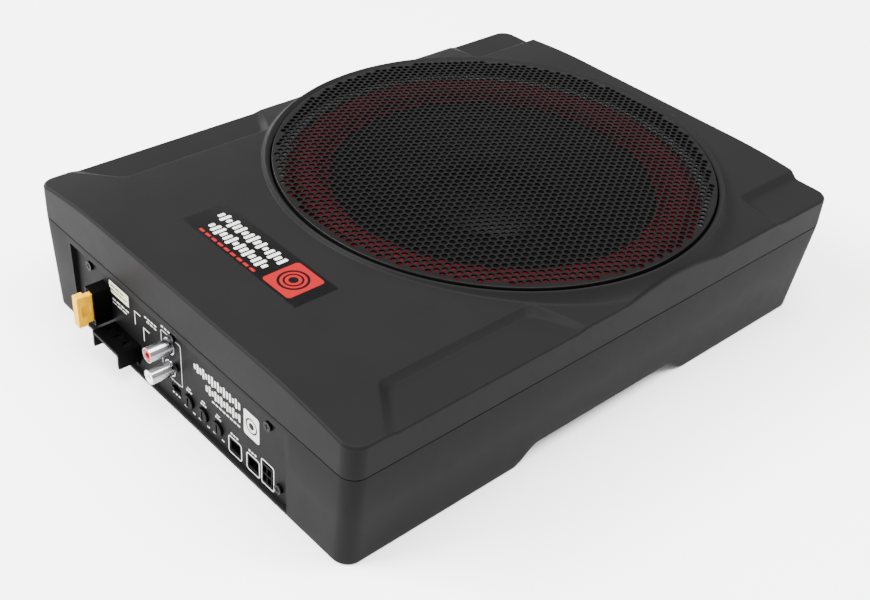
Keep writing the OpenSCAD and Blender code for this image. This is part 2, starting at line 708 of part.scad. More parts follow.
module terminal_clamps() color("#c4c6ca") in_case() for (i = [0 : terminal_n - 1]) {
    cell = (terminal_x1 - terminal_x0 - 3) / terminal_n;
    x = terminal_x0 + 1.5 + cell * (i + 0.5);
    box([x - 3.1, panel_y - terminal_body_out + 0.4, terminal_z0 + 6.6],
        [x + 3.1, panel_y - 1.4, terminal_z0 + 7.6]);
}

module terminal_screws() color("#9a9ca0") in_case() for (i = [0 : terminal_n - 1]) {
    cell = (terminal_x1 - terminal_x0 - 3) / terminal_n;
    x = terminal_x0 + 1.5 + cell * (i + 0.5);
    translate([x, panel_y - 5, terminal_z0 + 7.6]) difference() {
        cylinder(h = 1.6, r = 2.1);
        translate([-2.5, -0.35, 0.9]) cube([5, 0.7, 2]);
    }
}

// Stacked jacks' moulding: it steps over the phase switch and has an ear for its screw
module jack_housing() color("#17171a") in_case() difference() {
    union() {
        box([jack_x - 5.4, panel_back + 0.2, 17], [jack_x + 5.4, panel_back + 11, 43.2]);
        box([jack_x - 5.4, panel_back + 0.2, board_top], [jack_x - 0.4, panel_back + 11, 18]);
        box([jack_x, panel_back + 0.2, jack_screw_at[1] - 2.6],
            [jack_screw_at[0] + 2.6, panel_back + 6, jack_screw_at[1] + 2.6]);
    }
    rod_y(jack_screw_at[0], jack_screw_at[1], panel_back - 1, panel_back + 5, 1.1);
}

module jack_shells() color("#d0d2d6") in_case() for (i = [0, 1]) difference() {
    level = jack_z + i * jack_pitch;
    union() {
        rod_y(jack_x, level, panel_y - jack_len, panel_y + 0.1, jack_r);
        rod_y(jack_x, level, panel_y, panel_back + 0.2, jack_collar_r);
    }
    rod_y(jack_x, level, panel_y - jack_len - 1, panel_back - 0.6, jack_r - 0.5);
}

// Coloured insulating sleeve inside a phono jack
module jack_ring(level) {
    difference() {
        rod_y(jack_x, level, panel_y - jack_len + 0.2, panel_back - 0.6, jack_r - 0.5);
        rod_y(jack_x, level, panel_y - jack_len - 1, panel_back - 3, 1.7);
    }
}

module jack_ring_red() color("#c4203a") in_case() jack_ring(jack_z + jack_pitch);

module jack_ring_white() color("#efefef") in_case() jack_ring(jack_z);

module jack_contacts() color("#d0b45c") in_case() for (i = [0, 1]) difference() {
    rod_y(jack_x, jack_z + i * jack_pitch, panel_y - jack_len + 2, panel_back - 3, 1.7);
    rod_y(jack_x, jack_z + i * jack_pitch, panel_y - jack_len, panel_back - 4, 1.55);
}

module jack_screw() color("#101011") in_case() difference() {
    union() {
        rod_y(jack_screw_at[0], jack_screw_at[1], panel_y - 1.3, panel_y, 2.2);
        rod_y(jack_screw_at[0], jack_screw_at[1], panel_y - 0.1, panel_back + 4, 1.1);
    }
    box([jack_screw_at[0] - 1.5, panel_y - 2, jack_screw_at[1] - 0.3],
        [jack_screw_at[0] + 1.5, panel_y - 0.6, jack_screw_at[1] + 0.3]);
}

module potentiometers() color("#3f6b8a") in_case() for (i = [0 : 2]) {
    x = knob_x0 + i * knob_pitch;
    difference() {
        box([x - 4.8, panel_back + 2.4, board_top], [x + 4.8, panel_back + 9, knob_z + 5]);
        rod_y(x, knob_z, panel_back, panel_back + 7.5, 1.6);
    }
}

// Slotted trimmer knob on its own shaft
module knob(i) {
    x = knob_x0 + i * knob_pitch;
    difference() {
        union() {
            rod_y(x, knob_z, panel_y - 1.4, panel_back + 2, knob_r);
            rod_y(x, knob_z, panel_back + 2 - eps, panel_back + 7, 1.5);
        }
        box([x - 0.5, panel_y - 3, knob_z - 2.9], [x + 0.5, panel_y - 0.2, knob_z + 2.9]);
    }
}

module level_knob() color("#0e0e0f") in_case() knob(0);

module crossover_knob() color("#0e0e0f") in_case() knob(1);

module bass_knob() color("#0e0e0f") in_case() knob(2);

module phase_switch() color("#2a2a2c") in_case() difference() {
    box([switch_at[0] - 4.2, panel_y + 0.3, switch_at[1] - 2],
        [switch_at[0] + 4.2, panel_back + 5, switch_at[1] + 2]);
    box([switch_at[0] - 3.2, panel_y - 1, switch_at[1] - 1.2],
        [switch_at[0] + 3.2, panel_back + 2, switch_at[1] + 1.2]);
}

module phase_slider() color("#0c0c0d") in_case()
    box([switch_at[0] - 2.9, panel_y - 1.2, switch_at[1] - 0.9],
        [switch_at[0] - 0.5, panel_back + 1.6, switch_at[1] + 0.9]);

// Square board-mounted socket, open to the front
module socket(x) {
    difference() {
        box([x - socket_w / 2 - 1, panel_y + 0.2, socket_z - socket_h / 2 - 1],
            [x + socket_w / 2 + 1, panel_back + 10, socket_z + socket_h / 2 + 1]);
        box([x - socket_w / 2, panel_y - 1, socket_z - socket_h / 2],
            [x + socket_w / 2, panel_back + 8, socket_z + socket_h / 2]);
    }
}

module remote_socket() color("#0f0f10") in_case() socket(remote_x);

module link_socket() color("#0f0f10") in_case() socket(link_x);

// Two-row socket for the loudspeaker-level signal
module speaker_input_socket() color("#0f0f10") in_case() difference() {
    box([speaker_in_at[0] - 4, panel_y - 0.4, speaker_in_at[1] - 6.2],
        [speaker_in_at[0] + 4, panel_back + 10, speaker_in_at[1] + 6.4]);
    for (i = [0, 1], j = [0, 1])
        box([speaker_in_at[0] - 3.2 + 3.5 * i, panel_y - 1, speaker_in_at[1] - 5 + 5.4 * j],
            [speaker_in_at[0] - 0.3 + 3.5 * i, panel_back + 8, speaker_in_at[1] - 0.5 + 5.4 * j]);
}

module socket_pins() color("#d0b45c") in_case() {
    for (i = [0, 1], j = [0, 1])
        translate([speaker_in_at[0] - 1.75 + 3.5 * i, 0, speaker_in_at[1] - 2.75 + 5.4 * j])
            box([-0.4, panel_back, -0.4], [0.4, panel_back + 8, 0.4]);
    for (x = [remote_x, link_x], i = [-1 : 1])
        translate([x + i * 1.8, 0, socket_z])
            box([-0.3, panel_back + 6.6, -0.3], [0.3, panel_back + 8, 2.4]);
}

bottom_tray();
top_cover();
case_seal();
case_screws();
mounting_inserts();
badge_plate();
grille();
grille_gasket();
driver_gasket();
driver_basket();
driver_screws();
surround_trim();
surround();
cone();
dust_cap();
spider();
voice_coil_former();
voice_coil_winding();
top_plate();
magnet_ring();
yoke();
driver_terminals();
tinsel_leads();
speaker_wires();
control_panel();
panel_screws();
circuit_board();
board_screws();
heat_sink();
power_transistors();
capacitors();
choke_core();
choke_winding();
fuse_holder();
fuse_contacts();
fuse_body();
fuse_blades();
terminal_block();
terminal_clamps();
terminal_screws();
jack_housing();
jack_shells();
jack_ring_red();
jack_ring_white();
jack_contacts();
jack_screw();
potentiometers();
level_knob();
crossover_knob();
bass_knob();
phase_switch();
phase_slider();
remote_socket();
link_socket();
speaker_input_socket();
socket_pins();
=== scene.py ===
"""Looks for a powered under-seat car subwoofer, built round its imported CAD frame.

Lengths are in millimetres about the case's own middle until a mesh is made; make() turns
them into metres in the row frame.
"""

import math

import bmesh
import bpy
import numpy as np
from mathutils import Matrix, Vector


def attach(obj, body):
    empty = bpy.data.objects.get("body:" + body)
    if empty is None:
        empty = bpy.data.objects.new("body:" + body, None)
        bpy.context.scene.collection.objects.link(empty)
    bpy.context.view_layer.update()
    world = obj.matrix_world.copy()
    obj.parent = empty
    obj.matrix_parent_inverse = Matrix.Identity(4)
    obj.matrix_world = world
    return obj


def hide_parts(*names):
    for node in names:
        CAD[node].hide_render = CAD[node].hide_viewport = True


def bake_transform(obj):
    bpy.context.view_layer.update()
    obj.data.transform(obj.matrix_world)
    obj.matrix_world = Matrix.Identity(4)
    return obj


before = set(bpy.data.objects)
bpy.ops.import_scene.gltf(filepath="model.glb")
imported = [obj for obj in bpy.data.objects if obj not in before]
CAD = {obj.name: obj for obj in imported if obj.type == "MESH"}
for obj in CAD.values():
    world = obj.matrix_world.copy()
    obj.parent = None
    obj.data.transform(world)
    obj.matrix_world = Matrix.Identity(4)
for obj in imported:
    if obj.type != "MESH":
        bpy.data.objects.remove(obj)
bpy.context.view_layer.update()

MM = 0.001
CASE_SHIFT = 8.0  # the case's middle lies this far +Y, because the fuse sticks out of -Y

# Case
HALF_W = 134.5
HALF_L = 177.0
CORNER_R = 9.0
SEAM_Z = 57.0
TOP_Z = 81.4
WALL = 3.0
FLOOR_T = 2.5
GROOVE = 0.45
SIDE_DRAFT = 3.7
FRONT_DRAFT = 1.2
REAR_DRAFT = 6.9
CROWN_FLAT = 60.0
CROWN_DROP = 6.0
EDGE_R = 1.8
FOOT_R = 1.1

# Side pockets of the cover, as half widths and places along the case
POCKET_X = 106.3
POCKET_RAMP = 4.4
POCKET_Z = 75.0
POCKET_FRONT = ((106.3, -140.0), (134.5, -159.0))
POCKET_BACK = ((106.3, -44.0), (134.5, -30.3))
POCKET_REAR_Y = 124.0
POCKET_ROUND = 4.0

# Cover mesh: steps across, along and round each corner, and from the collar to the edge;
# the skin is solid under the collar out to SOLID_R
COVER_STEPS = (188, 254, 16)
FIELD_STEPS = 68
SOLID_R = 132.5

# Channel under the tray
ARCH_H = 9.7
ARCH_HALF = 65.0
ARCH_SLOPE = 11.0

# Posts in the tray for the case screws and the bracket inserts
SCREWS_AT = [(-119, -160), (119, -160), (-120, -72), (120, -72),
             (-119, 159), (119, 159), (-60, 160), (60, 160)]
INSERTS_AT = [(x, y) for x in (-115, 115) for y in (-115, 115)]

# Driver and grille, about the driver's own axis
DRIVER_Y = 35.7
BORE_R = 127.0
RIM_R = 130.0
RIM_Z = 83.4
RIM_FALL = 8.4
RIM_RUN = 9.0
LEDGE_R = 113.0
LEDGE_Z = 66.0
GRILLE_R = 126.2
GRILLE_RISE = 2.3
GRILLE_DROP = 10.7
HOLE_PITCH = 4.36
HOLE_R = 1.74
SHEET_T = 1.0
GRILLE_BORDER = 0.7
GRILLE_RING = 360
CONE_RIM_Z = 69.2
ROLL_MID_R = 106.0
ROLL_R = 9.0
FORMER_R = 25.2
NECK_Z = 54.0
CAP_R = 40.0

# Control panel
PANEL_X0 = -103.8
PANEL_X1 = 86.6
PANEL_Z0 = 2.9
PANEL_Z1 = 52.0
PANEL_Y = -174.0
KNOB_X = 3.4
KNOB_PITCH = 12.8
BADGE = (-50.7, -139.7, 44.7, -113.3)
BADGE_UP = 0.2


# ---------- Mesh tools ----------


def grouped(faces):
    """Faces as arrays, one for each number of corners."""
    if isinstance(faces, np.ndarray):
        return [faces]
    if faces and isinstance(faces[0], np.ndarray) and faces[0].ndim == 2:
        return faces
    by_size = {}
    for f in faces:
        by_size.setdefault(len(f), []).append(f)
    return [np.array(v, int) for v in by_size.values()]


def make(name, points, faces, material, body="case", stands_for=(), sharp=35.0):
    """A piece from points in mm about the case's middle, smooth but for edges over sharp."""
    mesh = bpy.data.meshes.new(name)
    where = (np.asarray(points, float) + (0.0, CASE_SHIFT, 0.0)) * MM
    groups = grouped(faces)
    corners = np.concatenate([g.ravel() for g in groups]).astype(np.int32)
    sizes = np.concatenate([np.full(len(g), g.shape[1]) for g in groups])
    starts = np.concatenate([[0], np.cumsum(sizes)[:-1]]).astype(np.int32)
    mesh.vertices.add(len(where))
    mesh.vertices.foreach_set("co", where.astype(np.float32).ravel())
    mesh.loops.add(len(corners))
    mesh.loops.foreach_set("vertex_index", corners)
    mesh.polygons.add(len(starts))
    mesh.polygons.foreach_set("loop_start", starts)
    mesh.update(calc_edges=True)
    mesh.validate()
    bm = bmesh.new()
    bm.from_mesh(mesh)
    bmesh.ops.recalc_face_normals(bm, faces=bm.faces)
    bm.to_mesh(mesh)
    bm.free()
    mesh.shade_smooth()
    if sharp:
        mesh.set_sharp_from_angle(angle=math.radians(sharp))
    piece = bpy.data.objects.new(name, mesh)
    bpy.context.scene.collection.objects.link(piece)
    mesh.materials.append(material)
    if body:
        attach(piece, body)
    if stands_for:
        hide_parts(*stands_for)
    return piece


def lathe(profile, steps, centre=(0.0, 0.0), closed=True):
    """Points and faces of (radius, height) pairs turned about an upright axis."""
    points, rings = [], []
    angles = np.arange(steps) * 2 * math.pi / steps
    for r, z in profile:
        if r < 1e-6:
            rings.append([len(points)])
            points.append((centre[0], centre[1], z))
        else:
            rings.append(list(range(len(points), len(points) + steps)))
            points += [(centre[0] + r * math.cos(a), centre[1] + r * math.sin(a), z)
                       for a in angles]
    faces = []
    pairs = list(zip(rings, rings[1:] + rings[:1])) if closed else list(zip(rings, rings[1:]))
    for low, high in pairs:
        for k in range(steps):
            n = (k + 1) % steps
            if len(low) == 1 and len(high) == 1:
                continue
            if len(low) == 1:
                faces.append((low[0], high[n], high[k]))
            elif len(high) == 1:
                faces.append((low[k], low[n], high[0]))
            else:
                faces.append((low[k], low[n], high[n], high[k]))
    return points, faces


def grid_faces(rows, cols, wrap=False):
    """Quads between the rows of a grid, which may close on itself across the columns."""
    j = np.arange(rows - 1)[:, None]
    k = np.arange(cols if wrap else cols - 1)[None, :]
    n = (k + 1) % cols
    return np.stack([j * cols + k, j * cols + n, (j + 1) * cols + n, (j + 1) * cols + k],
                    -1).reshape(-1, 4)


def block(low, high, r=0.3, steps=2):
    """Points and faces of a box with rounded edges."""
    bm = bmesh.new()
    bmesh.ops.create_cube(bm, size=1)
    low, high = np.array(low, float), np.array(high, float)
    for v in bm.verts:
        v.co = Vector((low + high) / 2 + np.array(v.co) * (high - low))
    bmesh.ops.bevel(bm, geom=bm.edges[:], offset=r, segments=steps, affect="EDGES",
                    profile=0.5)
    points = [tuple(v.co) for v in bm.verts]
    faces = [tuple(v.index for v in f.verts) for f in bm.faces]
    bm.free()
    return points, faces


def joined(*parts):
    """Several shapes as one list of points and one of faces."""
    points, faces = [], []
    for p, f in parts:
        base = len(points)
        points += [tuple(q) for q in p]
        faces += [tuple(int(i) + base for i in g) for g in f]
    return points, faces


def cut(piece, tool, how="DIFFERENCE"):
    """Applies a boolean with another mesh, which is then removed."""
    m = piece.modifiers.new("cut", "BOOLEAN")
    m.operation, m.object, m.solver = how, tool, "EXACT"
    done = bpy.data.meshes.new_from_object(
        piece.evaluated_get(bpy.context.evaluated_depsgraph_get()))
    piece.modifiers.remove(m)
    old = piece.data
    piece.data = done
    bpy.data.meshes.remove(old)
    bpy.data.objects.remove(tool)


def smooth_max(a, b, k):
    """The larger of two values, rounded off where they lie within k of each other."""
    h = np.clip(0.5 + 0.5 * (a - b) / k, 0, 1)
    return b + (a - b) * h + k * h * (1 - h)


def smooth_min(a, b, k):
    return -smooth_max(-np.asarray(a), -np.asarray(b), k)


# ---------- Materials ----------


class Finish:
    """A procedural material: a Principled shader and the textures that drive it."""

    def __init__(self, name, **sockets):
        self.mat = bpy.data.materials.new(name)
        self.mat.use_nodes = True
        self.tree = self.mat.node_tree
        self.shader = self.tree.nodes["Principled BSDF"]
        for key, value in sockets.items():
            self.shader.inputs[key.replace("_", " ")].default_value = value
        self.place = self.node("ShaderNodeTexCoord").outputs["Object"]
        self.normal = None

    def node(self, kind, **settings):
        n = self.tree.nodes.new(kind)
        for key, value in settings.items():
            setattr(n, key, value)
        return n

    def join(self, out, socket):
        self.tree.links.new(out, socket)

    def noise(self, size, detail=2.0, stretch=None):
        """Soft random values, with features about size mm across."""
        n = self.node("ShaderNodeTexNoise")
        n.inputs["Scale"].default_value = 1000.0 / size
        n.inputs["Detail"].default_value = detail
        self.join(self.stretched(stretch), n.inputs["Vector"])
        return n.outputs["Fac"]

    def cells(self, size):
        """Distance within random cells about size mm across."""
        n = self.node("ShaderNodeTexVoronoi")
        n.inputs["Scale"].default_value = 1000.0 / size
        self.join(self.place, n.inputs["Vector"])
        return n.outputs["Distance"]

    def waves(self, size, direction="X", distort=0.0):
        """Regular ridges, size mm apart."""
        n = self.node("ShaderNodeTexWave", bands_direction=direction)
        n.inputs["Scale"].default_value = 1000.0 / size * 0.05 * math.pi
        n.inputs["Distortion"].default_value = distort
        self.join(self.place, n.inputs["Vector"])
        return n.outputs["Fac"]

    def stretched(self, stretch):
        if not stretch:
            return self.place
        m = self.node("ShaderNodeMapping")
        m.inputs["Scale"].default_value = stretch
        self.join(self.place, m.inputs["Vector"])
        return m.outputs["Vector"]

    def tint(self, value, low, high, start=0.3, end=0.7):
        """Base colour from low to high as a texture's value rises."""
        r = self.node("ShaderNodeValToRGB")
        r.color_ramp.elements[0].position, r.color_ramp.elements[0].color = start, (*low, 1)
        r.color_ramp.elements[1].position, r.color_ramp.elements[1].color = end, (*high, 1)
        self.join(value, r.inputs["Fac"])
        self.join(r.outputs["Color"], self.shader.inputs["Base Color"])
        return self

    def vary(self, socket, value, low, high, start=0.3, end=0.7):
        """A socket from low to high as a texture's value rises."""
        r = self.node("ShaderNodeMapRange")
        for key, v in zip(("From Min", "From Max", "To Min", "To Max"),
                          (start, end, low, high)):
            r.inputs[key].default_value = v
        self.join(value, r.inputs["Value"])
        self.join(r.outputs["Result"], self.shader.inputs[socket])
        return self

    def relief(self, value, depth):
        """Bump from a texture, depth mm high."""
        b = self.node("ShaderNodeBump")
        b.inputs["Strength"].default_value = 1.0
        b.inputs["Distance"].default_value = depth * MM
        self.join(value, b.inputs["Height"])
        if self.normal:
            self.join(self.normal, b.inputs["Normal"])
        self.normal = b.outputs["Normal"]
        self.join(self.normal, self.shader.inputs["Normal"])
        return self


def shade(colour, share):
    """A colour made lighter or darker."""
    return tuple(min(1, c * share) for c in colour)


def moulded(name, colour, rough=0.5, grain=0.7, depth=0.03, specular=0.3):
    """Injection-moulded plastic: fine pebble grain, slow changes of tone and gloss."""
    f = Finish(name)
    f.tint(f.noise(30, 4), shade(colour, 0.96), shade(colour, 1.04))
    f.vary("Roughness", f.noise(9, 3), rough - 0.02, rough + 0.02)
    f.shader.inputs["Specular IOR Level"].default_value = specular
    f.relief(f.cells(grain), depth)
    f.relief(f.noise(grain * 3, 2), depth)
    return f.mat


def gloss(name, colour, rough=0.25, coat=0.0, specular=0.4):
    """Polished plastic or enamel with a faint ripple."""
    f = Finish(name, Coat_Weight=coat, Coat_Roughness=0.08, Specular_IOR_Level=specular)
    f.tint(f.noise(6, 3), shade(colour, 0.94), shade(colour, 1.06))
    f.vary("Roughness", f.noise(2.5, 3), rough - 0.05, rough + 0.06)
    f.relief(f.noise(1.8, 2), 0.01)
    return f.mat


def metal(name, colour, rough=0.3, size=0.6):
    """Turned, pressed or plated metal with fine tool marks."""
    f = Finish(name, Metallic=1.0)
    marks = (1, 1, 12)
    f.tint(f.noise(4, 3), shade(colour, 0.92), shade(colour, 1.08))
    f.vary("Roughness", f.noise(size, 3, marks), rough - 0.07, rough + 0.1)
    f.relief(f.noise(size, 2, marks), 0.006)
    return f.mat


def painted_steel(name, colour, rough=0.42, specular=0.25):
    """Powder-coated steel with a fine orange-peel surface."""
    f = Finish(name, Specular_IOR_Level=specular)
    f.tint(f.noise(14, 3), shade(colour, 0.85), shade(colour, 1.15))
    f.vary("Roughness", f.noise(3, 2), rough - 0.06, rough + 0.06)
    f.relief(f.noise(0.5, 2), 0.02)
    f.relief(f.noise(2.2, 1), 0.02)
    return f.mat


def rubber(name, colour, rough=0.55, grain=0.5, sheen=0.1, specular=0.1):
    """Soft rubber, or a matt fired block with the same fine tooth."""
    f = Finish(name, Sheen_Weight=sheen, Sheen_Roughness=0.4, Specular_IOR_Level=specular)
    f.tint(f.noise(10, 4), shade(colour, 0.85), shade(colour, 1.15))
    f.vary("Roughness", f.noise(4, 2), rough - 0.06, rough + 0.08)
    f.relief(f.noise(grain, 3), 0.02)
    return f.mat


def foam(name, colour):
    """Open-celled gasket foam."""
    f = Finish(name, Sheen_Weight=0.2)
    cell = 0.8
    # The cells' pits are darker in colour than their rims: painted shade in the pores.
    f.tint(f.cells(cell), shade(colour, 0.5), colour, 0.1, 0.6)
    f.vary("Roughness", f.noise(3, 2), 0.85, 1.0)
    f.relief(f.cells(cell), 0.15)
    return f.mat


def cloth(name, colour):
    """Woven, treated cloth."""
    f = Finish(name, Sheen_Weight=0.3)
    thread = 0.9
    f.tint(f.noise(5, 4), shade(colour, 0.75), colour)
    f.vary("Roughness", f.noise(2, 2), 0.75, 0.95)
    f.relief(f.waves(thread, "X"), 0.1)
    f.relief(f.waves(thread, "Y"), 0.1)
    return f.mat


def laminate(name, colour):
    """Circuit board: solder mask over a faint glass weave and tracks."""
    f = Finish(name, Coat_Weight=0.3)
    f.tint(f.waves(3.2, "DIAGONAL", 6.0), shade(colour, 0.7), colour, 0.45, 0.55)
    f.vary("Roughness", f.noise(6, 3), 0.3, 0.45)
    f.relief(f.waves(3.2, "DIAGONAL", 6.0), 0.05)
    f.relief(f.waves(0.8, "X"), 0.01)
    return f.mat


def ink(name, colour, rough=0.45):
    """Screen-printed ink with an uneven edge-to-edge cover."""
    f = Finish(name, Specular_IOR_Level=0.04)
    f.tint(f.noise(1.2, 4), shade(colour, 0.85), colour, 0.25, 0.6)
    f.vary("Roughness", f.noise(0.8, 2), rough - 0.05, rough + 0.1)
    f.relief(f.noise(0.35, 2), 0.01)
    return f.mat


CASE_COLOUR = (0.0062, 0.006, 0.0061)
M = {
    "case": moulded("case_plastic", CASE_COLOUR, rough=0.46, grain=0.8, depth=0.016,
                    specular=0.02),
    "panel": moulded("panel_paint", (0.0036, 0.0035, 0.0037), rough=0.5, grain=0.6,
                     depth=0.015, specular=0.03),
    "badge": gloss("badge_plastic", (0.0016, 0.0016, 0.0017), rough=0.36, specular=0.05),
    "grille": painted_steel("grille_paint", (0.0016, 0.0016, 0.0017), rough=0.45,
                            specular=0.07),
    "surround": rubber("surround_rubber", (0.06, 0.004, 0.0065), rough=0.5, sheen=0.0,
                       specular=0.03),
    "cone": moulded("cone_plastic", (0.0025, 0.0025, 0.0026), rough=0.5, grain=1.6,
                    depth=0.05, specular=0.08),
    "cap": gloss("dust_cap_plastic", (0.002, 0.002, 0.0021), rough=0.4, specular=0.1),
    "black_steel": painted_steel("black_steel", (0.0015, 0.0015, 0.0016), rough=0.4,
                                 specular=0.06),
    "basket": painted_steel("basket_paint", (0.05, 0.05, 0.052), rough=0.5),
    "brass": metal("insert_brass", (0.78, 0.56, 0.26), rough=0.32),
    "contact": metal("contact_brass", (0.86, 0.68, 0.36), rough=0.28, size=0.4),
    "plated": metal("plated_steel", (0.62, 0.62, 0.63), rough=0.33, size=0.9),
    "bright": metal("bright_steel", (0.78, 0.78, 0.79), rough=0.25, size=0.5),
    "chrome": metal("jack_chrome", (0.3, 0.3, 0.31), rough=0.16, size=0.5),
    "aluminium": metal("sink_aluminium", (0.68, 0.69, 0.7), rough=0.38, size=1.0),
    "copper": metal("copper_wire", (0.72, 0.3, 0.14), rough=0.3, size=0.4),
    "ferrite": rubber("ferrite", (0.028, 0.027, 0.028), rough=0.7, grain=0.4, sheen=0.0),
    "seal": rubber("seal_rubber", (0.012, 0.012, 0.012), rough=0.75),
    "wire": rubber("wire_rubber", (0.02, 0.02, 0.02), rough=0.45),
    "foam": foam("gasket_foam", (0.02, 0.02, 0.02)),
    "cloth": cloth("spider_cloth", (0.5, 0.3, 0.1)),
    "fibre": moulded("terminal_fibre", (0.16, 0.07, 0.03), rough=0.7, grain=0.5),
    "board": laminate("board_laminate", (0.012, 0.09, 0.035)),
    "black": gloss("component_black", (0.012, 0.012, 0.013), rough=0.42),
    "connector": moulded("connector_black", (0.0009, 0.0009, 0.001), rough=0.45, grain=0.4,
                         depth=0.01, specular=0.03),
    "blue": gloss("component_blue", (0.03, 0.12, 0.28), rough=0.35),
    "sleeve": gloss("capacitor_sleeve", (0.012, 0.03, 0.12), rough=0.22, coat=0.3),
    "fuse": gloss("fuse_yellow", (0.55, 0.28, 0.0002), rough=0.4, specular=0.03),
    "red": gloss("jack_red", (0.22, 0.003, 0.008), rough=0.35, specular=0.15),
    "white": gloss("jack_white", (0.7, 0.7, 0.68), rough=0.35, specular=0.2),
    "knob": moulded("knob_black", (0.0007, 0.0007, 0.0008), rough=0.45, grain=0.35,
                    depth=0.008, specular=0.03),
    "white_ink": ink("white_print", (0.42, 0.42, 0.41)),
    "red_ink": ink("red_print", (0.17, 0.0035, 0.0055)),
    "sticker": ink("sticker_paper", (0.42, 0.41, 0.28), rough=0.6),
}


# ---------- Cover ----------


def crown(x):
    """Height of the plain top: flat in the middle, falling to both sides."""
    over = np.maximum(0, (np.abs(x) - CROWN_FLAT) / (HALF_W - CROWN_FLAT))
    return TOP_Z - CROWN_DROP * over ** 2


def beyond(x, y, a, b, side):
    """Signed distance of points from the line through a and b, positive on one side."""
    dx, dy = b[0] - a[0], b[1] - a[1]
    return side * ((x - a[0]) * -dy + (y - a[1]) * dx) / math.hypot(dx, dy)


def pocket_inside(x, y):
    """How far points lie inside the outline of a side pocket; the corners are rounded."""
    x = np.abs(x)
    across = x - POCKET_X
    front = smooth_min(across, smooth_min(beyond(x, y, *POCKET_FRONT, 1),
                                          beyond(x, y, *POCKET_BACK, -1), POCKET_ROUND),
                       POCKET_ROUND)
    rear = smooth_min(across, y - POCKET_REAR_Y, POCKET_ROUND)
    return np.maximum(front, rear)


def cover_height(x, y):
    """Height of the cover's top face: crown, pockets and the collar round the grille."""
    base = crown(x)
    t = pocket_inside(x, y) / POCKET_RAMP
    t = smooth_min(smooth_max(t, 0.0, 0.15), 1.0, 0.15)
    floor = np.minimum(base, POCKET_Z - 0.3 * np.clip((np.abs(x) - 110.5) / 22, 0, 1))
    base = base + (floor - base) * t
    u = (np.hypot(x, y - DRIVER_Y) - RIM_R) / RIM_RUN
    slope = RIM_Z - RIM_FALL * (u + 0.6 * u * (1 - u))
    slope = np.where(u > 1, RIM_Z - RIM_FALL * (1 + 0.4 * (u - 1)), slope)
    return smooth_max(base, smooth_min(slope, RIM_Z, 0.7), 0.9)


def outline(n_x, n_y, n_arc):
    """Points and outward normals round the case, anticlockwise from its front left corner."""
    points, normals = [], []
    ix, iy = HALF_W - CORNER_R, HALF_L - CORNER_R
    corners = [(ix, -iy, -90), (ix, iy, 0), (-ix, iy, 90), (-ix, -iy, 180)]
    before = [(-ix, -iy), (ix, -iy), (ix, iy), (-ix, iy)]
    steps = [n_x, n_y, n_x, n_y]
    for (cx, cy, a0), (bx, by), n in zip(corners, before, steps):
        out = np.array([math.cos(math.radians(a0)), math.sin(math.radians(a0))])
        for i in range(n):
            t = i / n
            points.append(np.array([bx + (cx - bx) * t, by + (cy - by) * t])
                          + out * CORNER_R)
            normals.append(out)
        for i in range(n_arc):
            a = math.radians(a0 + 90 * i / n_arc)
            out_i = np.array([math.cos(a), math.sin(a)])
            points.append(np.array([cx, cy]) + out_i * CORNER_R)
            normals.append(out_i)
    return np.array(points), np.array(normals)


def ring_places(centre, ray, far, steps):
    """Distances along each ray from the collar out, closest where the top face bends."""
    fine = 240
    r = RIM_R + (far[:, None] - RIM_R) * np.linspace(0, 1, fine + 1)
    z = cover_height(centre[0] + ray[:, :1] * r, centre[1] + ray[:, 1:] * r)
    gap = (far - RIM_R)[:, None] / fine
    bend = np.abs(z[:, 2:] - 2 * z[:, 1:-1] + z[:, :-2]) / gap ** 2
    weight = 1 + 6 * np.clip(np.pad(bend, ((0, 0), (1, 1)), mode="edge") / 0.25, 0, 1)
    for _ in range(6):
        weight = (np.roll(weight, 1, 0) + 2 * weight + np.roll(weight, -1, 0)) / 4
    for _ in range(3):
        side = np.pad(weight, ((0, 0), (1, 1)), mode="edge")
        weight = (side[:, :-2] + 2 * weight + side[:, 2:]) / 4
    total = np.cumsum((weight[:, 1:] + weight[:, :-1]) / 2, axis=1)
    total = np.pad(total, ((0, 0), (1, 0))) / total[:, -1:]
    even = np.linspace(0, 1, steps + 1)
    return np.array([np.interp(even, t, q) for t, q in zip(total, r)])


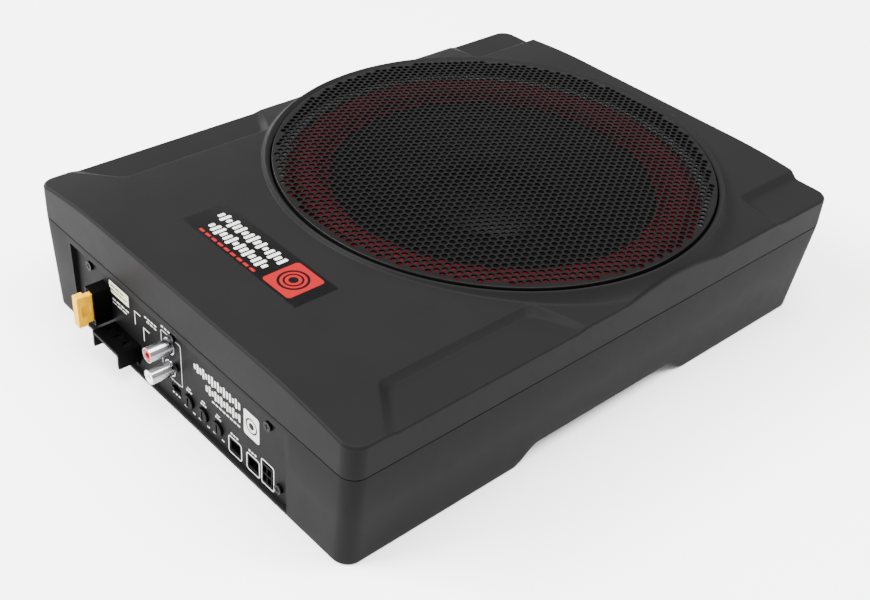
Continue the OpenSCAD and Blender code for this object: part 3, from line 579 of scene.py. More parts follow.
def cover_rows():
    """Rings of points and normals round the cover's whole section, each closed on itself."""
    edge, out = outline(*COVER_STEPS)
    centre = np.array([0.0, DRIVER_Y])
    reach = np.linalg.norm(edge - centre, axis=1)
    fillet = np.clip(0.62 * (reach - RIM_R), 1.1, EDGE_R)[:, None]
    field_end = edge - out * fillet
    away = field_end - centre
    far = np.linalg.norm(away, axis=1)
    ray = away / far[:, None]
    n = len(edge)
    rows, normals = [], []

    def add(xy, z, normal):
        rows.append(np.column_stack([xy, np.broadcast_to(z, n)]))
        normal = np.broadcast_to(normal, (n, 3))
        normals.append(normal / np.linalg.norm(normal, axis=1)[:, None])

    def flat(v, z=0.0):
        return np.column_stack([v, np.full(n, z)])

    def top_normal(xy):
        h = 0.04
        gx = (cover_height(xy[:, 0] + h, xy[:, 1]) - cover_height(xy[:, 0] - h, xy[:, 1]))
        gy = (cover_height(xy[:, 0], xy[:, 1] + h) - cover_height(xy[:, 0], xy[:, 1] - h))
        v = np.column_stack([-gx / (2 * h), -gy / (2 * h), np.ones(n)])
        return v / np.linalg.norm(v, axis=1)[:, None]

    up, down = np.array([0, 0, 1.0]), np.array([0, 0, -1.0])
    # Ledge, bore wall and the small round at the bore's mouth
    add(centre + ray * LEDGE_R, LEDGE_Z - 0.4, flat(-ray))
    add(centre + ray * (LEDGE_R + 0.4), LEDGE_Z, up)
    add(centre + ray * (BORE_R - 0.3), LEDGE_Z, up)
    add(centre + ray * BORE_R, LEDGE_Z + 0.3, flat(-ray))
    # The rim's inner side slopes up from the bore to a narrow crest
    for r, drop, lean in ((BORE_R, 2.6, 0.0), (BORE_R + 0.12, 2.2, 25.0),
                          (BORE_R + 0.4, 1.9, 50.0), (BORE_R + 1.9, 0.4, 52.0),
                          (BORE_R + 2.25, 0.14, 72.0)):
        a = math.radians(lean)
        add(centre + ray * r, RIM_Z - drop, flat(-ray * math.cos(a), math.sin(a)))
    # Collar and field
    places = ring_places(centre, ray, far, FIELD_STEPS)
    for r in (RIM_R - 0.45, RIM_R - 0.2):
        xy = centre + ray * r
        add(xy, cover_height(xy[:, 0], xy[:, 1]), top_normal(xy))
    for r in places.T:
        xy = centre + ray * r[:, None]
        add(xy, cover_height(xy[:, 0], xy[:, 1]), top_normal(xy))
    # Round along the top edge, the wall and the bevel at the joint line
    top_z = cover_height(field_end[:, 0], field_end[:, 1])
    top_n = top_normal(field_end)
    for i in range(1, 6):
        a = math.radians(18 * i)
        xy = field_end + out * fillet * math.sin(a)
        add(xy, top_z - fillet[:, 0] * (1 - math.cos(a)),
            top_n * math.cos(a) + flat(out) * math.sin(a))
    add(edge, (top_z - fillet[:, 0] + SEAM_Z) / 2, flat(out))
    add(edge, SEAM_Z + 0.45, flat(out))
    add(edge - out * 0.13, SEAM_Z + 0.13, flat(out, -0.8))
    add(edge - out * 0.45, SEAM_Z, down)
    # Underside of the lip, the inner wall and the inner skin back to the ledge
    inner = edge - out * WALL
    add(inner + out * 0.3, SEAM_Z, down)
    add(inner, SEAM_Z + 0.3, flat(-out))
    inner_ray = inner - centre
    inner_far = np.linalg.norm(inner_ray, axis=1)
    inner_ray /= inner_far[:, None]
    solid = inner_far < SOLID_R
    roof = np.where(solid, LEDGE_Z - 4, cover_height(inner[:, 0], inner[:, 1]) - 5.5)
    add(inner, roof, flat(-out, -1))
    end = np.minimum(inner_far - 0.05, SOLID_R - 1.5)
    for i in range(1, 9):
        r = inner_far + (end - inner_far) * i / 8
        xy = centre + inner_ray * r[:, None]
        z = np.minimum(cover_height(xy[:, 0], xy[:, 1]), TOP_Z) - WALL
        add(xy, np.where(solid, LEDGE_Z - 4, z), down)
    add(centre + inner_ray * end[:, None], LEDGE_Z - 4, down)
    add(centre + ray * (LEDGE_R + 0.4), LEDGE_Z - 4, down)
    add(centre + ray * LEDGE_R, LEDGE_Z - 3.6, flat(-ray))
    return np.array(rows), np.array(normals)


def build_cover():
    rows, normals = cover_rows()
    count, n = rows.shape[:2]
    faces = grid_faces(count, n, wrap=True)
    last = (count - 1) * n + np.arange(n)
    first = np.arange(n)
    faces = np.concatenate([faces, np.stack([last, np.roll(last, -1), np.roll(first, -1),
                                             first], -1)])
    piece = make("cover_shell", rows.reshape(-1, 3), faces, M["case"],
                 stands_for=["top_cover"], sharp=None)
    mesh = piece.data
    # The rings' own normals, so that the fine shape reads smoothly
    mesh.normals_split_custom_set_from_vertices(normals.reshape(-1, 3).tolist())


# ---------- Tray ----------


def arch_z(y):
    """Height of the tray's underside: two feet and the channel between them."""
    t = np.clip((ARCH_HALF - np.abs(y)) / ARCH_SLOPE, -1, 2)
    t = smooth_min(smooth_max(t, 0.0, 0.3), 1.0, 0.3)
    return ARCH_H * t


TRAY_YS = np.unique(np.concatenate([
    np.linspace(-165, -70, 20), np.linspace(-70, -50, 26), np.linspace(-50, 50, 16),
    np.linspace(50, 70, 26), np.linspace(70, 160, 20)]))
TRAY_NX = 44
TRAY_ARC = 12


def tray_plan(z):
    """Half width, front end and rear end of the drafted tray at a height."""
    share = (SEAM_Z - z) / SEAM_Z
    return (HALF_W - SIDE_DRAFT * share, -HALF_L + FRONT_DRAFT * share,
            HALF_L - REAR_DRAFT * share)


def tray_section(z_of, pull):
    """Side columns as half width, Y and Z, at heights that may change along the tray, drawn
    in by pull along the outline's own normal."""
    cols = []
    a = np.radians(np.linspace(0, 90, TRAY_ARC + 1))
    for kind, values in (("front", a), ("side", TRAY_YS), ("rear", a[::-1])):
        for v in values:
            y_guess = {"front": -HALF_L, "rear": HALF_L}.get(kind, v)
            z = float(z_of(np.array(y_guess)))
            hx, y0, y1 = tray_plan(z)
            r = CORNER_R
            x, y = hx - r + (r - pull) * math.sin(v), (r - pull) * math.cos(v)
            cols.append({"front": (x, y0 + r - y, z), "side": (hx - pull, v, z),
                         "rear": (x, y1 - r + y, z)}[kind])
    return np.array(cols)


def tray_ring(cols):
    """A closed ring from side columns: front edge, right side, rear edge, left side."""
    def edge(col, sign):
        x = np.linspace(-col[0], col[0], TRAY_NX + 1)[1:-1] * sign
        return np.column_stack([x, np.full(len(x), col[1]), np.full(len(x), col[2])])
    right = cols
    left = cols[::-1] * (-1, 1, 1)
    return np.concatenate([edge(cols[0], 1), right, edge(cols[-1], -1), left])


def tray_floor(cols, base, ring_start):
    """Quads that close a ring of side columns across the tray, in rows of constant Y."""
    n = len(cols)
    points, index = [], []
    for i, c in enumerate(cols):
        xs = np.linspace(-c[0], c[0], TRAY_NX + 1)
        row = []
        for j, x in enumerate(xs):
            if i == 0 and 0 < j < TRAY_NX:
                row.append(ring_start + j - 1)
            elif j == TRAY_NX:
                row.append(ring_start + TRAY_NX - 1 + i)
            elif i == n - 1 and 0 < j < TRAY_NX:
                row.append(ring_start + TRAY_NX - 1 + n + (TRAY_NX - 1 - j))
            elif j == 0:
                row.append(ring_start + 2 * (TRAY_NX - 1) + n + (n - 1 - i))
            else:
                row.append(base + len(points))
                points.append((x, c[1], c[2]))
        index.append(row)
    faces = [(index[i][j], index[i][j + 1], index[i + 1][j + 1], index[i + 1][j])
             for i in range(n - 1) for j in range(TRAY_NX)]
    return points, faces


def build_tray():
    """Drafted walls on two feet, a rounded lower edge, and a closed inner skin."""
    rings = []

    def level(z):
        return lambda y: np.array(z, float)

    def over(dz):
        return lambda y: arch_z(y) + dz

    for height, pull in (
            (over(0), FOOT_R), (over(FOOT_R * 0.04), FOOT_R * 0.71),
            (over(FOOT_R * 0.14), FOOT_R * 0.48), (over(FOOT_R * 0.3), FOOT_R * 0.29),
            (over(FOOT_R * 0.5), FOOT_R * 0.13), (over(FOOT_R * 0.75), FOOT_R * 0.03),
            (over(FOOT_R), 0), (over(FOOT_R + 6), 0), (level(30), 0),
            (level(SEAM_Z - GROOVE - 0.4), 0), (level(SEAM_Z - GROOVE - 0.1), 0.1),
            (level(SEAM_Z - GROOVE), 0.4), (level(SEAM_Z - GROOVE), GROOVE),
            (level(SEAM_Z - 0.02), GROOVE), (level(SEAM_Z - 0.02), WALL),
            (level(SEAM_Z - 2), WALL), (level(30), WALL),
            (over(FLOOR_T + 6), WALL), (over(FLOOR_T), WALL)):
        rings.append(tray_ring(tray_section(height, pull)))
    n = len(rings[0])
    points = np.concatenate(rings)
    faces = [tuple(f) for f in grid_faces(len(rings), n, wrap=True).tolist()]
    bottom = tray_section(over(0), FOOT_R)
    extra, more = tray_floor(bottom, len(points), 0)
    faces += more
    points = np.concatenate([points, extra])
    inner = tray_section(over(FLOOR_T), WALL)
    extra, more = tray_floor(inner, len(points), (len(rings) - 1) * n)
    faces += more
    points = np.concatenate([points, extra])
    piece = make("tray_shell", points, faces, M["case"], stands_for=["bottom_tray"])
    posts = joined(
        *[lathe([(0, 1.2), (6.4, 1.2), (6.4, 30), (0, 30)], 32, p, False) for p in SCREWS_AT],
        *[lathe([(0, 1.2), (7, 1.2), (7, 14), (0, 14)], 32, p, False) for p in INSERTS_AT])
    cut(piece, make("posts", *posts, M["case"], body=None), "UNION")
    tools = joined(
        *[lathe([(0, -2), (4.6, -2), (4, 0.5), (4, 18), (2.1, 18), (2.1, 40), (0, 40)], 40,
                p, False) for p in SCREWS_AT],
        *[lathe([(0, -2), (4.01, -2), (4.01, 10), (0, 10)], 40, p, False)
          for p in INSERTS_AT],
        block((PANEL_X0 - 0.6, -HALF_L - 3, PANEL_Z0 - 0.4),
              (PANEL_X1 + 0.6, PANEL_Y + WALL + 2, PANEL_Z1 + 0.3), 0.5))
    cut(piece, make("tools", *tools, M["case"], body=None))
    piece.data.shade_smooth()
    piece.data.set_sharp_from_angle(angle=math.radians(28))


# ---------- Grille and driver ----------


def grille_z(r):
    """Height of the domed sheet's top face."""
    return RIM_Z - 0.3 + GRILLE_RISE * (1 - (r / GRILLE_R) ** 2)


def build_grille():
    """One perforated sheet: staggered round holes, a plain edge folded down to a skirt."""
    row_gap = HOLE_PITCH * math.sqrt(3) / 2
    sides = 12
    hole_a = np.radians(np.arange(sides) * 30.0 + 30)
    hex_a = np.radians(np.arange(6) * 60.0 + 30)
    hex_r = HOLE_PITCH / math.sqrt(3)
    reach = GRILLE_R - GRILLE_BORDER - 0.3
    centres = []
    n_rows = int(GRILLE_R / row_gap) + 1
    n_cols = int(GRILLE_R / HOLE_PITCH) + 4
    for j in range(-n_rows, n_rows + 1):
        for i in range(-n_cols, n_cols + 1):
            c = ((i + 0.5 * (j % 2)) * HOLE_PITCH, j * row_gap)
            if math.hypot(*c) + HOLE_R < reach - 0.1:
                centres.append(c)
    centres = np.array(centres)
    corner = (centres[:, None, :]
              + hex_r * np.stack([np.cos(hex_a), np.sin(hex_a)], -1)[None])
    keys = np.round(corner.reshape(-1, 2) * 50).astype(int)
    _, first, inverse = np.unique(keys, axis=0, return_index=True, return_inverse=True)
    web = corner.reshape(-1, 2)[first]
    web *= np.minimum(1, reach / np.hypot(web[:, 0], web[:, 1]))[:, None]
    web_of = inverse.reshape(-1, 6)
    hole = (centres[:, None, :]
            + HOLE_R * np.stack([np.cos(hole_a), np.sin(hole_a)], -1)[None]).reshape(-1, 2)
    n_web, n_hole = len(web), len(hole)
    hole_of = np.arange(n_hole).reshape(-1, sides) + n_web
    tris = []
    for s in range(6):
        a, b = web_of[:, s], web_of[:, (s + 1) % 6]
        h0, h1, h2 = (hole_of[:, (2 * s + k) % sides] for k in (0, 1, 2))
        tris += [np.stack([a, h1, h0], -1), np.stack([a, b, h1], -1),
                 np.stack([b, h2, h1], -1)]
    top = np.concatenate(tris)
    # The jagged outer boundary of the cells, joined to a ring by the nearest angles
    edges = np.concatenate([np.stack([web_of[:, s], web_of[:, (s + 1) % 6]], -1)
                            for s in range(6)])
    order = np.sort(edges, 1)
    _, where, counts = np.unique(order, axis=0, return_index=True, return_counts=True)
    rim_edges = edges[where[counts == 1]]
    step = {int(a): int(b) for a, b in rim_edges}
    start = next(iter(step))
    loop = [start]
    while step[loop[-1]] != start:
        loop.append(step[loop[-1]])
    ring_n = GRILLE_RING
    ring_a = np.arange(ring_n) * 2 * math.pi / ring_n
    edge_profile = [(GRILLE_R - GRILLE_BORDER, 0.0), (GRILLE_R - 0.35, -0.12),
                    (GRILLE_R - 0.1, -0.4), (GRILLE_R, -0.9)]
    flat = np.concatenate([web, hole])
    z_top = grille_z(np.hypot(flat[:, 0], flat[:, 1]))
    points = [np.column_stack([flat, z_top]), np.column_stack([flat, z_top - SHEET_T])]
    n_flat = len(flat)
    count = 2 * n_flat
    ring_z = float(grille_z(GRILLE_R - GRILLE_BORDER))
    circle = np.stack([np.cos(ring_a), np.sin(ring_a)], -1)
    foot = RIM_Z - GRILLE_DROP
    section = [(r, ring_z + dz) for r, dz in edge_profile]
    section += [(GRILLE_R, foot), (GRILLE_R - SHEET_T, foot),
                (GRILLE_R - SHEET_T, ring_z - 1.4), (GRILLE_R - 0.95, ring_z - SHEET_T)]
    for r, z in section:
        points.append(np.column_stack([circle * r, np.full(ring_n, z)]))
    rings = [count + i * ring_n + np.arange(ring_n) for i in range(len(section))]

    def stitch(inner, outer, inner_xy):
        """Triangles between the jagged loop and a ring, advancing whichever lags in angle."""
        ang = np.unwrap(np.arctan2(inner_xy[:, 1], inner_xy[:, 0]))
        if ang[-1] < ang[0]:
            inner, ang = inner[::-1], ang[::-1]
        shift = int(np.ceil((ang[0] % (2 * math.pi)) / (2 * math.pi / ring_n)))
        base = ang[0] - (ang[0] % (2 * math.pi))
        faces, i, j = [], 0, 0
        n_in = len(inner)
        while i < n_in or j < ring_n:
            next_in = ang[(i + 1) % n_in] + (2 * math.pi if i + 1 >= n_in else 0)
            next_out = base + (shift + j + 1) * 2 * math.pi / ring_n
            a, b = inner[i % n_in], outer[(shift + j) % ring_n]
            if j >= ring_n or (i < n_in and next_in <= next_out):
                faces.append((a, b, inner[(i + 1) % n_in]))
                i += 1
            else:
                faces.append((a, b, outer[(shift + j + 1) % ring_n]))
                j += 1
        return np.array(faces)

    loop = np.array(loop)
    band_top = stitch(loop, rings[0], flat[loop])
    band_low = stitch(loop + n_flat, rings[-1], flat[loop])
    walls = []
    for s in range(sides):
        a, b = hole_of[:, s], hole_of[:, (s + 1) % sides]
        walls.append(np.stack([a, b, b + n_flat, a + n_flat], -1))
    skirt = [np.stack([a, np.roll(a, -1), np.roll(b, -1), b], -1)
             for a, b in zip(rings, rings[1:])]
    low = top[:, ::-1] + n_flat
    faces = [np.concatenate([top, low, band_top, band_low]),
             np.concatenate(walls + skirt)]
    points = np.concatenate(points) + (0, DRIVER_Y, 0)
    piece = make("grille_mesh", points, faces, M["grille"], stands_for=["grille"])


def cone_z(r):
    """Height of the cone's curved face, from its neck out to the surround."""
    run = (r - FORMER_R) / (ROLL_MID_R - ROLL_R - FORMER_R)
    return NECK_Z + (CONE_RIM_Z - NECK_Z) * np.maximum(run, 0) ** 1.15


def blend_between(piece):
    """Bakes the placement of a flexible piece into its points."""
    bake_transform(piece)


def blend_by_radius(piece):
    """The same for a round piece: bakes its placement into its points."""
    blend_between(piece)


def build_driver():
    """Surround, cone, dust cap and spider, all turned about the driver's axis."""
    at = (0, DRIVER_Y)
    # Surround: a half roll with a flange inside and out
    arc = [(ROLL_MID_R + ROLL_R * math.cos(a), CONE_RIM_Z + ROLL_R * math.sin(a))
           for a in np.radians(np.linspace(4, 176, 36))]
    low = [(ROLL_MID_R + (ROLL_R - 0.8) * math.cos(a),
            CONE_RIM_Z + 0.01 + (ROLL_R - 0.8) * math.sin(a))
           for a in np.radians(np.linspace(180, 0, 36))]
    profile = ([(ROLL_MID_R + ROLL_R + 4, CONE_RIM_Z + 0.01),
                (ROLL_MID_R + ROLL_R + 4, CONE_RIM_Z + 0.7),
                (ROLL_MID_R + ROLL_R + 0.5, CONE_RIM_Z + 0.8)] + arc
               + [(ROLL_MID_R - ROLL_R - 0.4, CONE_RIM_Z + 0.8),
                  (ROLL_MID_R - ROLL_R - 3, CONE_RIM_Z + 0.8),
                  (ROLL_MID_R - ROLL_R - 3, CONE_RIM_Z + 0.01)] + low)
    surround = make("surround_roll", *lathe(profile, 240, at), M["surround"], body=None,
                    stands_for=["surround"])
    blend_by_radius(surround)
    # Cone with shallow stiffening rings, and its dust cap
    r0, r1 = FORMER_R + 0.45, ROLL_MID_R - ROLL_R
    rs = np.linspace(r0, r1, 90)
    ripple = 0.35 * np.cos(2 * math.pi * (rs - r1) / 11.0) * np.clip((rs - 44) / 6, 0, 1)
    ripple *= np.clip((r1 - 2 - rs) / 4, 0, 1)
    face = [(r, float(cone_z(r)) + w) for r, w in zip(rs, ripple)]
    back = [(r, z - 0.8) for r, z in face[::-1]]
    cone = make("cone_body", *lathe(face + back, 240, at), M["cone"], "cone_assembly",
                ["cone"])
    base = float(cone_z(CAP_R))
    cap = [(0, base + 9.1)]
    cap += [(CAP_R * t, base + 9.1 - 9 * t * t) for t in np.linspace(0.04, 0.93, 24)]
    cap += [(CAP_R * 0.965, base + 0.75), (CAP_R * 0.985, base + 0.62), (CAP_R, base + 0.3),
            (CAP_R, base + 0.08), (CAP_R - 0.9, base + 0.08)]
    cap += [((CAP_R - 0.9) * t, base + 8.3 - 8.2 * t * t) for t in np.linspace(0.95, 0.04, 24)]
    cap += [(0, base + 8.3)]
    dust = make("dust_dome", *lathe(cap, 180, at), M["cap"], "cone_assembly", ["dust_cap"])
    # Spider: corrugated cloth disc
    rs = np.linspace(FORMER_R + 0.7, 62, 150)
    wave = 0.9 * np.sin(2 * math.pi * (rs - rs[0]) / (rs[-1] - rs[0]) * 6)
    face = [(r, 45 + 1.6 + w) for r, w in zip(rs, wave)]
    back = [(r, z - 0.6) for r, z in face[::-1]]
    spider = make("spider_disc", *lathe(face + back, 180, at), M["cloth"], body=None,
                  stands_for=["spider"])
    blend_by_radius(spider)


# ---------- Badge and printed marks ----------


def rounded(x0, z0, x1, z1, r=0.25, steps=4):
    """Outline of a rounded rectangle."""
    points = []
    for cx, cz, a0 in ((x1 - r, z0 + r, -90), (x1 - r, z1 - r, 0), (x0 + r, z1 - r, 90),
                       (x0 + r, z0 + r, 180)):
        for i in range(steps + 1):
            a = math.radians(a0 + 90 * i / steps)
            points.append((cx + r * math.cos(a), cz + r * math.sin(a)))
    return points


def round_mark(cx, cz, r, steps=48):
    return [(cx + r * math.cos(a), cz + r * math.sin(a))
            for a in np.arange(steps) * 2 * math.pi / steps]


def frame_mark(x0, z0, x1, z1, line, r):
    """A rounded frame, drawn with one line."""
    return (rounded(x0, z0, x1, z1, r),
            rounded(x0 + line, z0 + line, x1 - line, z1 - line, r - line * 0.6))


def ring_mark(cx, cz, r, line):
    return round_mark(cx, cz, r), round_mark(cx, cz, r - line)


def bars(x0, pitch, width, middle, heights):
    """A row of upright bars of uneven height, like a sound level display."""
    return [(rounded(x0 + i * pitch, middle - h / 2, x0 + i * pitch + width, middle + h / 2,
                     min(width, h) * 0.3), None) for i, h in enumerate(heights)]


def dashes(x0, x1, count, share, z0, z1):
    """A broken line, each dash taking a share of its step."""
    step = (x1 - x0) / count
    return [(rounded(x0 + i * step, z0, x0 + (i + share) * step, z1, (z1 - z0) * 0.3), None)
            for i in range(count)]


def inked(name, marks, finish, place, low, high):
    """Raised print: each mark is an outline, some with the outline of a hole in it."""
    points, faces = [], []
    for outer, inner in marks:
        base, n = len(points), len(outer)
        for level in (low, high):
            for loop in (outer, inner) if inner else (outer,):
                points += [place(u, v, level) for u, v in loop]
        k = 2 * n if inner else n
        for i in range(n):
            j = (i + 1) % n
            faces.append((base + i, base + j, base + k + j, base + k + i))
            if inner:
                faces.append((base + n + j, base + n + i, base + k + n + i, base + k + n + j))
                faces.append((base + k + i, base + k + j, base + k + n + j, base + k + n + i))
                faces.append((base + j, base + i, base + n + i, base + n + j))
        if not inner:
            faces.append(tuple(base + i for i in reversed(range(n))))
            faces.append(tuple(base + n + i for i in range(n)))
    make(name, points, faces, M[finish])


def build_badge():
    """A thin plate on the cover with generic marks: level bars and a ringed block."""
    plate = make("badge_face", *block((BADGE[0], BADGE[1], TOP_Z - 0.9),
                                      (BADGE[2], BADGE[3], TOP_Z + BADGE_UP), 0.2, 3),
                 M["badge"], stands_for=["badge_plate"])

    def place(u, v, h):
        return u, v, TOP_Z + BADGE_UP + h

    upper = [4.2, 6.8, 3.4, 8.0, 5.4, 7.2, 3.8, 6.2, 8.0, 4.6, 7.0, 3.2, 5.8, 7.8, 4.4, 6.4]
    lower = [3.6, 6.4, 7.6, 4.2, 5.6, 7.8, 3.4, 6.8, 5.0, 7.4, 4.0, 6.0, 7.2, 3.6]
    marks = bars(-43, 3.5, 2.3, -121.6, upper) + bars(-38, 3.5, 2.3, -130.9, lower)
    inked("badge_marks_white", marks, "white_ink", place, 0, 0.05)
    marks = dashes(-38, 11, 9, 0.72, -138.3, -136.6)
    marks.append((rounded(15.5, -138, 37.5, -115.2, 2.2), None))
    inked("badge_marks_red", marks, "red_ink", place, 0, 0.05)
    marks = [ring_mark(26.5, -126.6, 8.2, 1.3), ring_mark(26.5, -126.6, 5.3, 1.0),
             (round_mark(26.5, -126.6, 2.5), None)]
    inked("badge_marks_dark", marks, "badge", place, 0.05, 0.09)


def build_panel_marks():
    """Generic print on the control panel: frames, ticks, level bars and a ringed block."""
    def place(u, v, h):
        return u, PANEL_Y - h, v

    marks = [frame_mark(37.3, 4.6, 48.7, 15.7, 0.6, 1.8),
             frame_mark(52.5, 4.6, 63.5, 15.7, 0.6, 1.8),
             frame_mark(64.6, 4.6, 75.0, 20.4, 0.6, 1.4)]
    marks += dashes(39.5, 46.5, 3, 0.7, 17.2, 18.3) + dashes(54.5, 61.5, 3, 0.7, 17.2, 18.3)
    for i in range(3):
        x = KNOB_X + i * KNOB_PITCH
        marks += dashes(x - 2.6, x + 2.8, 3, 0.75, 18.9, 19.9)
        marks += dashes(x - 1.6, x + 1.8, 2, 0.75, 20.8, 21.7)
        marks += dashes(x - 5.0, x - 2.6, 2, 0.7, 7.0, 7.9)
        marks += dashes(x + 2.6, x + 5.0, 2, 0.7, 7.0, 7.9)
    marks += dashes(-12.4, -4.4, 4, 0.6, 17.0, 17.9) + dashes(-12.4, -4.4, 3, 0.6, 8.9, 9.8)
    marks += bars(9, 2.5, 1.6, 40.2, [3.2, 5.6, 4.0, 6.2, 3.4, 5.2, 6.4, 4.2, 5.8, 3.6, 6.2,
                                      4.6, 5.4, 3.0, 6.0, 4.4])
    marks += bars(19, 2.5, 1.6, 32.6, [3.8, 5.8, 3.2, 6.0, 4.8, 6.2, 3.6, 5.4, 4.0, 6.0, 3.4,
                                       5.0])
    marks += dashes(24, 48.5, 8, 0.75, 26.8, 27.8)
    marks.append((rounded(51, 26.6, 63.4, 42.2, 1.5), None))
    marks += dashes(-68, -51, 4, 0.8, 35.4, 36.3) + dashes(-68, -53, 3, 0.8, 33.2, 34.0)
    marks += dashes(-66, -55, 2, 0.8, 48.6, 49.6)
    for x, z in ((-46, 41), (-38, 35)):
        marks.append((rounded(x, z - 9, x + 0.6, z, 0.15), None))
        marks.append((rounded(x + 0.6, z - 0.6, x + 6, z, 0.15), None))
    marks += dashes(-36, -24, 4, 0.75, 42.6, 43.5) + dashes(-34, -24, 3, 0.75, 40.6, 41.4)
    marks += dashes(-20, -8, 4, 0.7, 46.6, 47.6)
    marks.append(frame_mark(-20.6, 17.6, -2.6, 44.8, 0.4, 1.2))
    inked("panel_marks_white", marks, "white_ink", place, -0.02, 0.05)
    ring = (57.2, 34.4)
    inked("panel_marks_dark", [ring_mark(*ring, 4.6, 0.9), (round_mark(*ring, 2.0), None)],
          "panel", place, 0.05, 0.09)
    inked("panel_sticker", [(rounded(-70, 39.4, -51, 46.8, 0.6), None)], "sticker", place,
          -0.02, 0.08)
    lines = dashes(-68.6, -55, 3, 0.85, 43.9, 44.8) + dashes(-68.6, -52.6, 4, 0.85, 41.4, 42.2)
    inked("panel_sticker_lines", lines, "badge", place, 0.08, 0.1)


def build_leads():
    """Two braided leads from the solder tags up to the cone."""
    path = [(-62.7, 39.6), (-66.5, 40.4), (-70, 43), (-71.8, 47.2), (-72, 52), (-71.5, 57),
            (-71.5, 60), (-71.5, 62.3)]
    knots = np.arange(len(path))
    t = np.linspace(0, len(path) - 1, 90)
    y = np.interp(t, knots, [p[0] for p in path])
    z = np.interp(t, knots, [p[1] for p in path])
    for _ in range(8):
        y[1:-1] = (y[:-2] + 2 * y[1:-1] + y[2:]) / 4
        z[1:-1] = (z[:-2] + 2 * z[1:-1] + z[2:]) / 4
    run = np.stack([np.gradient(y), np.gradient(z)], 1)
    run /= np.linalg.norm(run, axis=1)[:, None]
    sides = 12
    parts = []
    for x in (-8, 8):
        points = []
        for i in range(len(t)):
            for k in range(sides):
                a = 2 * math.pi * k / sides
                r = 0.56 + 0.06 * math.cos(3 * a + 0.9 * i)
                side = r * math.sin(a)
                points.append((x + r * math.cos(a), y[i] - run[i, 1] * side + DRIVER_Y,
                               z[i] + run[i, 0] * side))
        faces = [tuple(f) for f in grid_faces(len(t), sides, wrap=True)]
        faces.append(tuple(reversed(range(sides))))
        faces.append(tuple((len(t) - 1) * sides + k for k in range(sides)))
        parts.append((points, faces))
    leads = make("tinsel_braids", *joined(*parts), M["copper"], body=None,
                 stands_for=["tinsel_leads"])
    blend_between(leads)


# ---------- Carried-over CAD nodes ----------


DRESS = {
    ("seal", 0): "case_seal surround_trim",
    ("foam", 0): "grille_gasket driver_gasket",
    ("basket", 0): "driver_basket",
    ("aluminium", 0): "voice_coil_former",
    ("aluminium", 0.2): "heat_sink",
    ("copper", 0): "voice_coil_winding",
    ("copper", 0.3): "choke_winding",
    ("fibre", 0): "driver_terminals",
    ("wire", 0): "speaker_wires",
    ("panel", 0): "control_panel",
    ("board", 0): "circuit_board",
    ("black_steel", 0.2): "case_screws",
    ("black_steel", 0.15): "driver_screws panel_screws terminal_screws jack_screw",
    ("brass", 0.2): "mounting_inserts",
    ("plated", 0.3): "top_plate yoke",
    ("ferrite", 0.5): "magnet_ring choke_core",
    ("bright", 0.15): "board_screws",
    ("bright", 0.1): "fuse_blades terminal_clamps",
    ("black", 0.1): "power_transistors",
    ("sleeve", 0.3): "capacitors",
    ("blue", 0.3): "potentiometers",
    ("contact", 0.1): "fuse_contacts",
    ("contact", 0.05): "jack_contacts socket_pins",
    ("fuse", 0.4): "fuse_body",
    ("chrome", 0.1): "jack_shells",
    ("red", 0.2): "jack_ring_red",
    ("white", 0.2): "jack_ring_white",
    ("connector", 0.3): "fuse_holder jack_housing",
    ("connector", 0.25): "terminal_block",
    ("connector", 0.2): "remote_socket link_socket",
    ("connector", 0.15): "speaker_input_socket",
    ("connector", 0.1): "phase_switch",
    ("knob", 0.3): "level_knob crossover_knob bass_knob",
    ("knob", 0.1): "phase_slider",
}


def dress_all():
    """Gives each CAD node its material, and small bevels where its edges show."""
    for (finish, bevel), nodes in DRESS.items():
        for node in nodes.split():
            o = CAD[node]
            o.data.materials.clear()
            o.data.materials.append(M[finish])
            o.data.polygons.foreach_set("material_index",
                                        np.zeros(len(o.data.polygons), np.int32))
            if bevel:
                w = o.modifiers.new("weld", "WELD")
                w.merge_threshold = 0.02 * MM
                b = o.modifiers.new("bevel", "BEVEL")
                b.width, b.segments, b.limit_method = bevel * MM, 2, "ANGLE"
                b.angle_limit = math.radians(35)


# ---------- Stage ----------

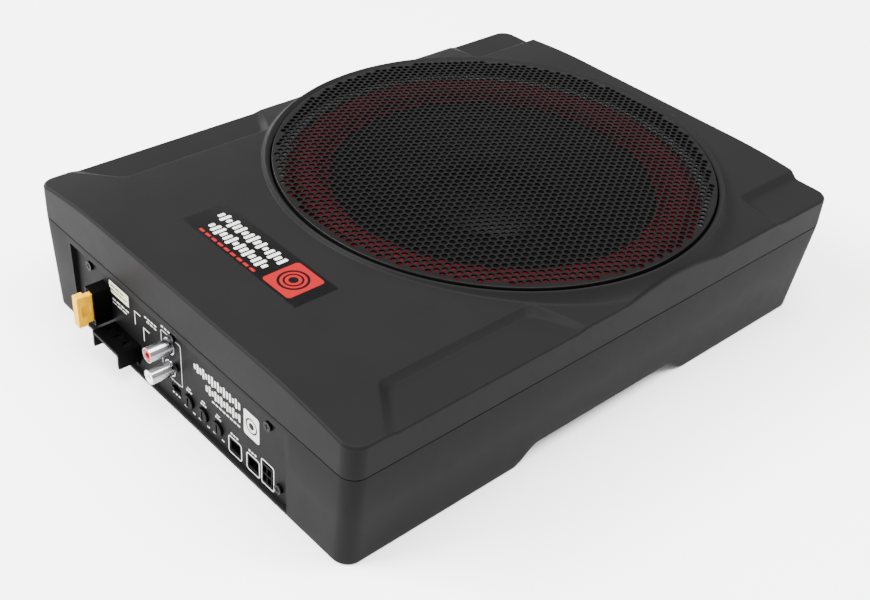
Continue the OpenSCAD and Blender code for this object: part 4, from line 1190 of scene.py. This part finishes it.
WORLD_LIGHT = 1.25
LAMPS = [
    ("key", (-1.6, -2.3, 2.2), (0, 0, 0.0), (2.2, 1.6), 560),
    ("over", (0.5, 0.1, 3.3), (0, 0, 0.0), (2.4, 2.4), 340),
    ("back right", (1.7, 1.7, 2.6), (0, 0, 0.05), (1.2, 0.9), 150),
    ("left", (-2.9, -0.3, 0.75), (0, 0, 0.06), (1.2, 0.5), 45),
]


def build_stage():
    """A pale floor, an even white surround, and the lamps."""
    size = 4.0
    mesh = bpy.data.meshes.new("floor")
    n = 8
    xs = np.linspace(-size, size, n + 1)
    mesh.from_pydata([(x, y, -0.0002) for y in xs for x in xs], [],
                     grid_faces(n + 1, n + 1).tolist())
    floor = bpy.data.objects.new("floor", mesh)
    bpy.context.scene.collection.objects.link(floor)
    f = Finish("studio_floor", Roughness=0.9)
    f.shader.inputs["Base Color"].default_value = (0.9, 0.9, 0.9, 1)
    mesh.materials.append(f.mat)

    world = bpy.data.worlds.new("studio")
    world.use_nodes = True
    back = world.node_tree.nodes["Background"]
    back.inputs["Color"].default_value = (1, 1, 1, 1)
    back.inputs["Strength"].default_value = WORLD_LIGHT
    bpy.context.scene.world = world

    for name, where, aim, size_xy, power in LAMPS:
        lamp = bpy.data.lights.new(name, "AREA")
        lamp.shape = "RECTANGLE"
        lamp.size, lamp.size_y = size_xy
        lamp.energy = power
        o = bpy.data.objects.new(name, lamp)
        bpy.context.scene.collection.objects.link(o)
        o.location = where
        o.rotation_mode = "QUATERNION"
        o.rotation_quaternion = (Vector(aim) - Vector(where)).to_track_quat("-Z", "Y")


def build_camera():
    """The photograph's view, solved from the case's own corners."""
    right = Vector((0.66732081, 0.74149063, 0.0698182))
    up = Vector((-0.47670857, 0.3532289, 0.80497098))
    back = Vector((0.57221663, -0.57045682, 0.58919194))
    where = Vector((0.430155, -0.423347, 0.442426))
    data = bpy.data.cameras.new("camera")
    data.sensor_fit, data.sensor_width, data.lens = "HORIZONTAL", 36.0, 52.701
    data.clip_start, data.clip_end = 0.01, 20
    cam = bpy.data.objects.new("camera", data)
    bpy.context.scene.collection.objects.link(cam)
    turn = Matrix((right, up, back)).transposed().to_4x4()
    cam.matrix_world = Matrix.Translation(where) @ turn
    bpy.context.scene.camera = cam


build_camera()
build_stage()
build_cover()
build_tray()
build_grille()
build_driver()
build_leads()
build_badge()
build_panel_marks()
dress_all()
